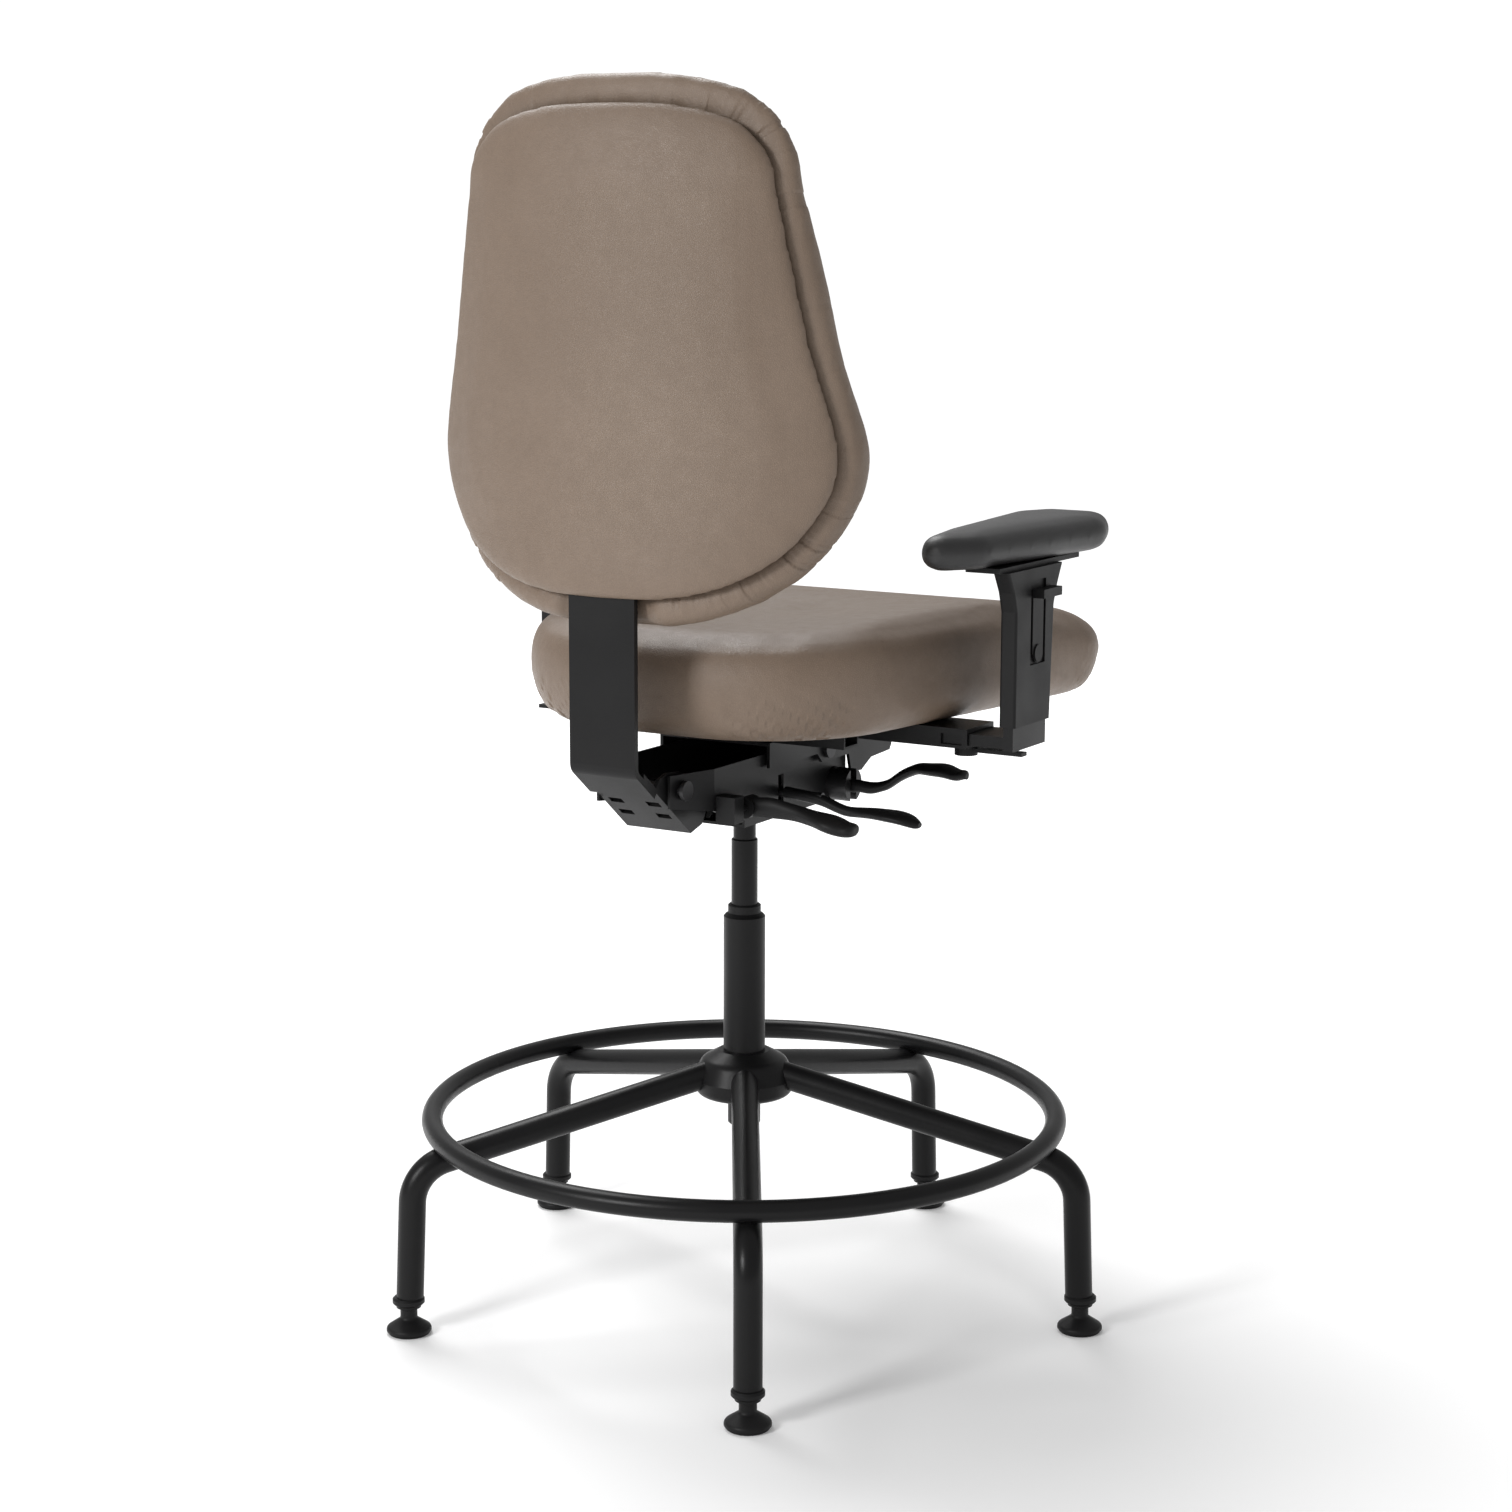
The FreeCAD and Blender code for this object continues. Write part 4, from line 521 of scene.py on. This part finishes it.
# Back rest: a pear-shaped cushion with a gathered border, and an upholstered panel behind it

low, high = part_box("back_cushion")
BACK_LOW, BACK_HIGH, BACK_HALF = low[2], high[2], high[0]
PANEL_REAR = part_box("back_panel")[1][1]
BOARD_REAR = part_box("back_board")[1][1]
BAR_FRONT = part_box("back_bar")[1][1] - 0.006
BACK_CENTRE = Vector((0, 0.955))
CURVE = 0.427
FACE_CURVE = 0.900
FACE_BOW = 0.0307
FACE_OUT = 0.011
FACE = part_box("back_cushion")[0][1] + FACE_BOW
NECK_HALF, NECK_Z, WIDE_Z = 0.183, 1.165, 0.930


def back_ring(inset, inset_ends, count):
    """The back's outline seen from behind, moved inwards, counter-clockwise in X and Z."""
    top, bottom = BACK_HIGH - inset_ends, BACK_LOW + inset_ends
    wide, neck = BACK_HALF - inset, NECK_HALF - inset
    low_part, high_part = WIDE_Z - bottom, top - NECK_Z
    waist = (wide + neck) / 2
    right = [(0, bottom), (0.40 * wide, bottom + 0.04 * low_part), (0.70 * wide, bottom + 0.22 * low_part),
             (0.91 * wide, bottom + 0.55 * low_part), (wide, WIDE_Z),
             (waist, WIDE_Z + 0.46 * (NECK_Z - WIDE_Z)), (neck, NECK_Z),
             (0.945 * neck, NECK_Z + 0.46 * high_part), (0.75 * neck, NECK_Z + 0.81 * high_part),
             (0.40 * neck, NECK_Z + 0.97 * high_part), (0, top)]
    return closed_curve(right + [(-x, z) for x, z in reversed(right[1:-1])], count)


def bow(x, radius):
    """How far a round back falls away at x from its middle line."""
    return radius - math.sqrt(radius * radius - x * x)


def crown(z):
    """How far the top of the panel rolls forwards."""
    return 0.016 * ease(1.19, 1.29, z)


def seam_y(x, z):
    return PANEL_REAR - 0.016 - bow(x, CURVE - 0.014) - crown(z)


def face_y(x, z):
    lumbar = 0.012 * math.exp(-((z - 0.90) / 0.10) ** 2)
    lean = 0.024 * ease(1.06, 1.25, z)
    return FACE + 0.004 - bow(x, FACE_CURVE) - lumbar + lean


def make_back_cushion():
    outline = back_ring(0, 0, RING_POINTS)

    def rings_at(inset, depth, from_face):
        """A ring of the border. Depth is a share of the way from the face to the seam, or with
        from_face a distance behind the face."""
        found = []
        for outer, p in zip(outline, inset_ring(outline, inset)):
            front, rear = face_y(outer.x, outer.y), seam_y(outer.x, outer.y)
            notch = ease(0.058, 0.048, abs(outer.x)) * ease(0.90, 0.86, outer.y)
            rear = rear * (1 - notch) + min(rear, BAR_FRONT - 0.008) * notch
            y = front + (rear - front) * depth if not from_face else face_y(p.x, p.y) + depth
            found.append(Vector((p.x, y, p.y)))
        return found

    rings = [
        rings_at(0.030, 0.90, False), rings_at(0.018, 0.99, False), rings_at(0.008, 0.985, False),
        rings_at(0.000, 0.93, False), rings_at(-0.006, 0.82, False), rings_at(-0.009, 0.64, False),
        rings_at(-0.008, 0.44, False), rings_at(-0.004, 0.26, False), rings_at(0.004, 0.11, False),
        rings_at(0.016, 0.002, True), rings_at(0.031, -0.005, True), rings_at(0.052, -0.009, True)]
    inner = inset_ring(outline, 0.052)
    for keep in (0.82, 0.6, 0.38, 0.18):
        rings.append([Vector((p.x, face_y(p.x, p.y) - FACE_OUT, p.y))
                      for p in shrink_ring(inner, BACK_CENTRE, keep)])
    front_middle = Vector((0, face_y(0, BACK_CENTRE.y) - FACE_OUT, BACK_CENTRE.y))
    behind = [[Vector((p.x, BOARD_REAR - 0.006 - bow(p.x, CURVE - 0.029) - crown(p.y), p.y))
               for p in shrink_ring(inset_ring(outline, 0.032), BACK_CENTRE, keep)]
              for keep in (0.3, 0.6, 0.85, 1.0)]
    rear_middle = Vector((0, BOARD_REAR - 0.006, BACK_CENTRE.y))
    cushion = loft("back_upholstery", behind + rings, rear_middle, front_middle)

    def held(p):
        """The seam, and the mouth that the back bar goes in by."""
        by_the_bar = abs(p.x) < 0.07 and p.z < 0.86 and p.y > BAR_FRONT - 0.03
        return p.y > seam_y(p.x, p.z) - 0.010 or by_the_bar

    plump(cushion, 0.006, 3.5, 0.007, held)
    subdivide(cushion, 2)

    step = (outline[1] - outline[0]).length
    nearest = nearest_on(outline)

    def folds(point, normal):
        behind_face = point.y - face_y(point.x, point.z)
        if behind_face < 0.012 or (abs(point.x) < 0.06 and point.z < 0.9):
            return 0.0
        index, away = nearest(point.x, point.z)
        if away > 0.03:
            return 0.0
        shoulder = ease(1.13, 1.18, point.z) * ease(1.275, 1.245, point.z)
        hip = ease(0.90, 0.86, point.z) * ease(0.772, 0.80, point.z)
        reach = ease(0.075, 0.008, seam_y(point.x, point.z) - point.y)
        amount = max(0.15, shoulder, hip) * reach
        return -0.0026 * amount * gathers(index * step, 0.0095, 11.0)

    push(cushion, folds)
    dress(cushion, "taupe_cover", "back", "back_cushion", fill=0.8)


def make_back_panel():
    def rear_y(x, z):
        return PANEL_REAR - 0.003 - bow(x, CURVE) - crown(z)

    outline = back_ring(0.006, 0.022, RING_POINTS)
    edge = [(0.004, 0.017), (0.001, 0.013), (0.0, 0.009), (0.002, 0.005), (0.006, 0.0022), (0.013, 0.0008),
            (0.024, 0.0)]
    rings = [[Vector((p.x, rear_y(p.x, p.y) - depth, p.y)) for p in inset_ring(outline, inset)]
             for inset, depth in edge]
    inner = inset_ring(outline, edge[-1][0])
    for keep in (0.85, 0.65, 0.45, 0.25, 0.1):
        rings.append([Vector((p.x, rear_y(p.x, p.y), p.y)) for p in shrink_ring(inner, BACK_CENTRE, keep)])
    inside = [[Vector((p.x, rear_y(p.x, p.y) - 0.0125, p.y)) for p in shrink_ring(inset_ring(outline, 0.006),
                                                                                  BACK_CENTRE, keep)]
              for keep in (0.4, 0.7, 0.95)]
    panel = loft("back_panel_cover", inside + rings,
                 Vector((0, rear_y(0, BACK_CENTRE.y) - 0.0125, BACK_CENTRE.y)),
                 Vector((0, rear_y(0, BACK_CENTRE.y), BACK_CENTRE.y)))
    plump(panel, 0.0045, 1.2, 0.0025, lambda p: p.y < rear_y(p.x, p.z) - 0.009)
    subdivide(panel)
    dress(panel, "taupe_cover", "back", "back_panel", fill=0.9)


# Arm pads: crowned, with a rounded rim that turns under

def make_arm_pad(hand, side):
    low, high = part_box(f"arm_pad_{hand}")
    edge = high[0] if side > 0 else -low[0]
    corners = [(-0.075, 0.104), (-0.024, 0.040), (0.0, -0.190), (-0.024, -0.252), (-0.096, -0.252),
               (-0.121, -0.200), (-0.098, 0.0)]
    corners = [(side * (edge + x), y) for x, y in corners]
    if side > 0:
        corners.reverse()
    radii = [0.020, 0.045, 0.045, 0.022, 0.022, 0.050, 0.030]
    if side > 0:
        radii.reverse()

    def pad_ring(inset):
        return inset_ring(rounded_polygon(corners, radii, 160), inset)

    thick = high[2] - low[2]
    profile = [(0.030, 0.0), (0.018, 0.0), (0.008, 0.08), (0.0025, 0.22), (0.0, 0.42), (0.001, 0.60),
               (0.004, 0.76),
               (0.010, 0.88), (0.018, 0.94)]
    rings = [[Vector((p.x, p.y, low[2] + share * thick)) for p in pad_ring(inset)]
             for inset, share in profile]
    middle = Vector((side * (edge - 0.058), -0.085))
    inner = pad_ring(profile[-1][0])
    for keep, share in ((0.8, 0.975), (0.55, 0.99), (0.3, 1.0), (0.12, 1.0)):
        rings.append([Vector((p.x, p.y, low[2] + share * thick)) for p in shrink_ring(inner, middle, keep)])
    pad = loft(f"arm_pad_cover_{hand}", rings, Vector((middle.x, middle.y, low[2])),
               Vector((middle.x, middle.y, high[2])))
    remesh(pad, 0.004)
    subdivide(pad)
    dress(pad, "pad_skin", f"arm_{hand}", f"arm_pad_{hand}", fill=1.0)


make_seat()
make_back_cushion()
make_back_panel()
make_arm_pad("right", -1)
make_arm_pad("left", 1)


# Floor, light and camera

def make_floor():
    half = 14.0
    floor = new_object("floor", [(-half, -half, 0), (half, -half, 0), (half, half, 0), (-half, half, 0)],
                       [(0, 1, 2, 3)])
    floor.data.materials.append(floor_paper())


def make_light(name, place, target, size, power):
    light = bpy.data.lights.new(name, "AREA")
    light.shape = "RECTANGLE"
    light.size, light.size_y = size
    light.energy = power
    obj = bpy.data.objects.new(name, light)
    bpy.context.scene.collection.objects.link(obj)
    obj.location = place
    obj.rotation_euler = (Vector(target) - Vector(place)).to_track_quat("-Z", "Y").to_euler()


def make_camera():
    camera = bpy.data.cameras.new("camera")
    camera.sensor_width = 36.0
    camera.lens = 72.06
    camera.clip_end = 100.0
    obj = bpy.data.objects.new("camera", camera)
    bpy.context.scene.collection.objects.link(obj)
    look = Vector((0.5037, -0.8455, -0.1770)).to_track_quat("-Z", "Y").to_matrix()
    roll = Matrix.Rotation(math.radians(0.147), 3, "Z")
    obj.rotation_euler = (look @ roll).to_euler()
    obj.location = (-1.615, 2.6878, 1.1574)
    bpy.context.scene.camera = obj


def make_world():
    """White behind the object, and a softer even light on it."""
    world = bpy.data.worlds.new("studio")
    world.use_nodes = True
    nodes, links = world.node_tree.nodes, world.node_tree.links
    shown = nodes.new("ShaderNodeLightPath").outputs["Is Camera Ray"]
    strength = nodes.new("ShaderNodeMapRange")
    strength.inputs["To Min"].default_value = 0.45
    strength.inputs["To Max"].default_value = 1.05
    links.new(shown, strength.inputs["Value"])
    links.new(strength.outputs["Result"], nodes["Background"].inputs["Strength"])
    nodes["Background"].inputs["Color"].default_value = (1, 1, 1, 1)
    bpy.context.scene.world = world
    bpy.context.scene.view_settings.view_transform = "Standard"


make_floor()
make_world()
make_light("key", (2.1, -1.5, 4.3), (0, 0, 0.5), (2.6, 2.6), 170)
make_light("fill", (1.1, 3.9, 2.3), (0, 0.1, 1.0), (1.0, 1.0), 95)
make_camera()
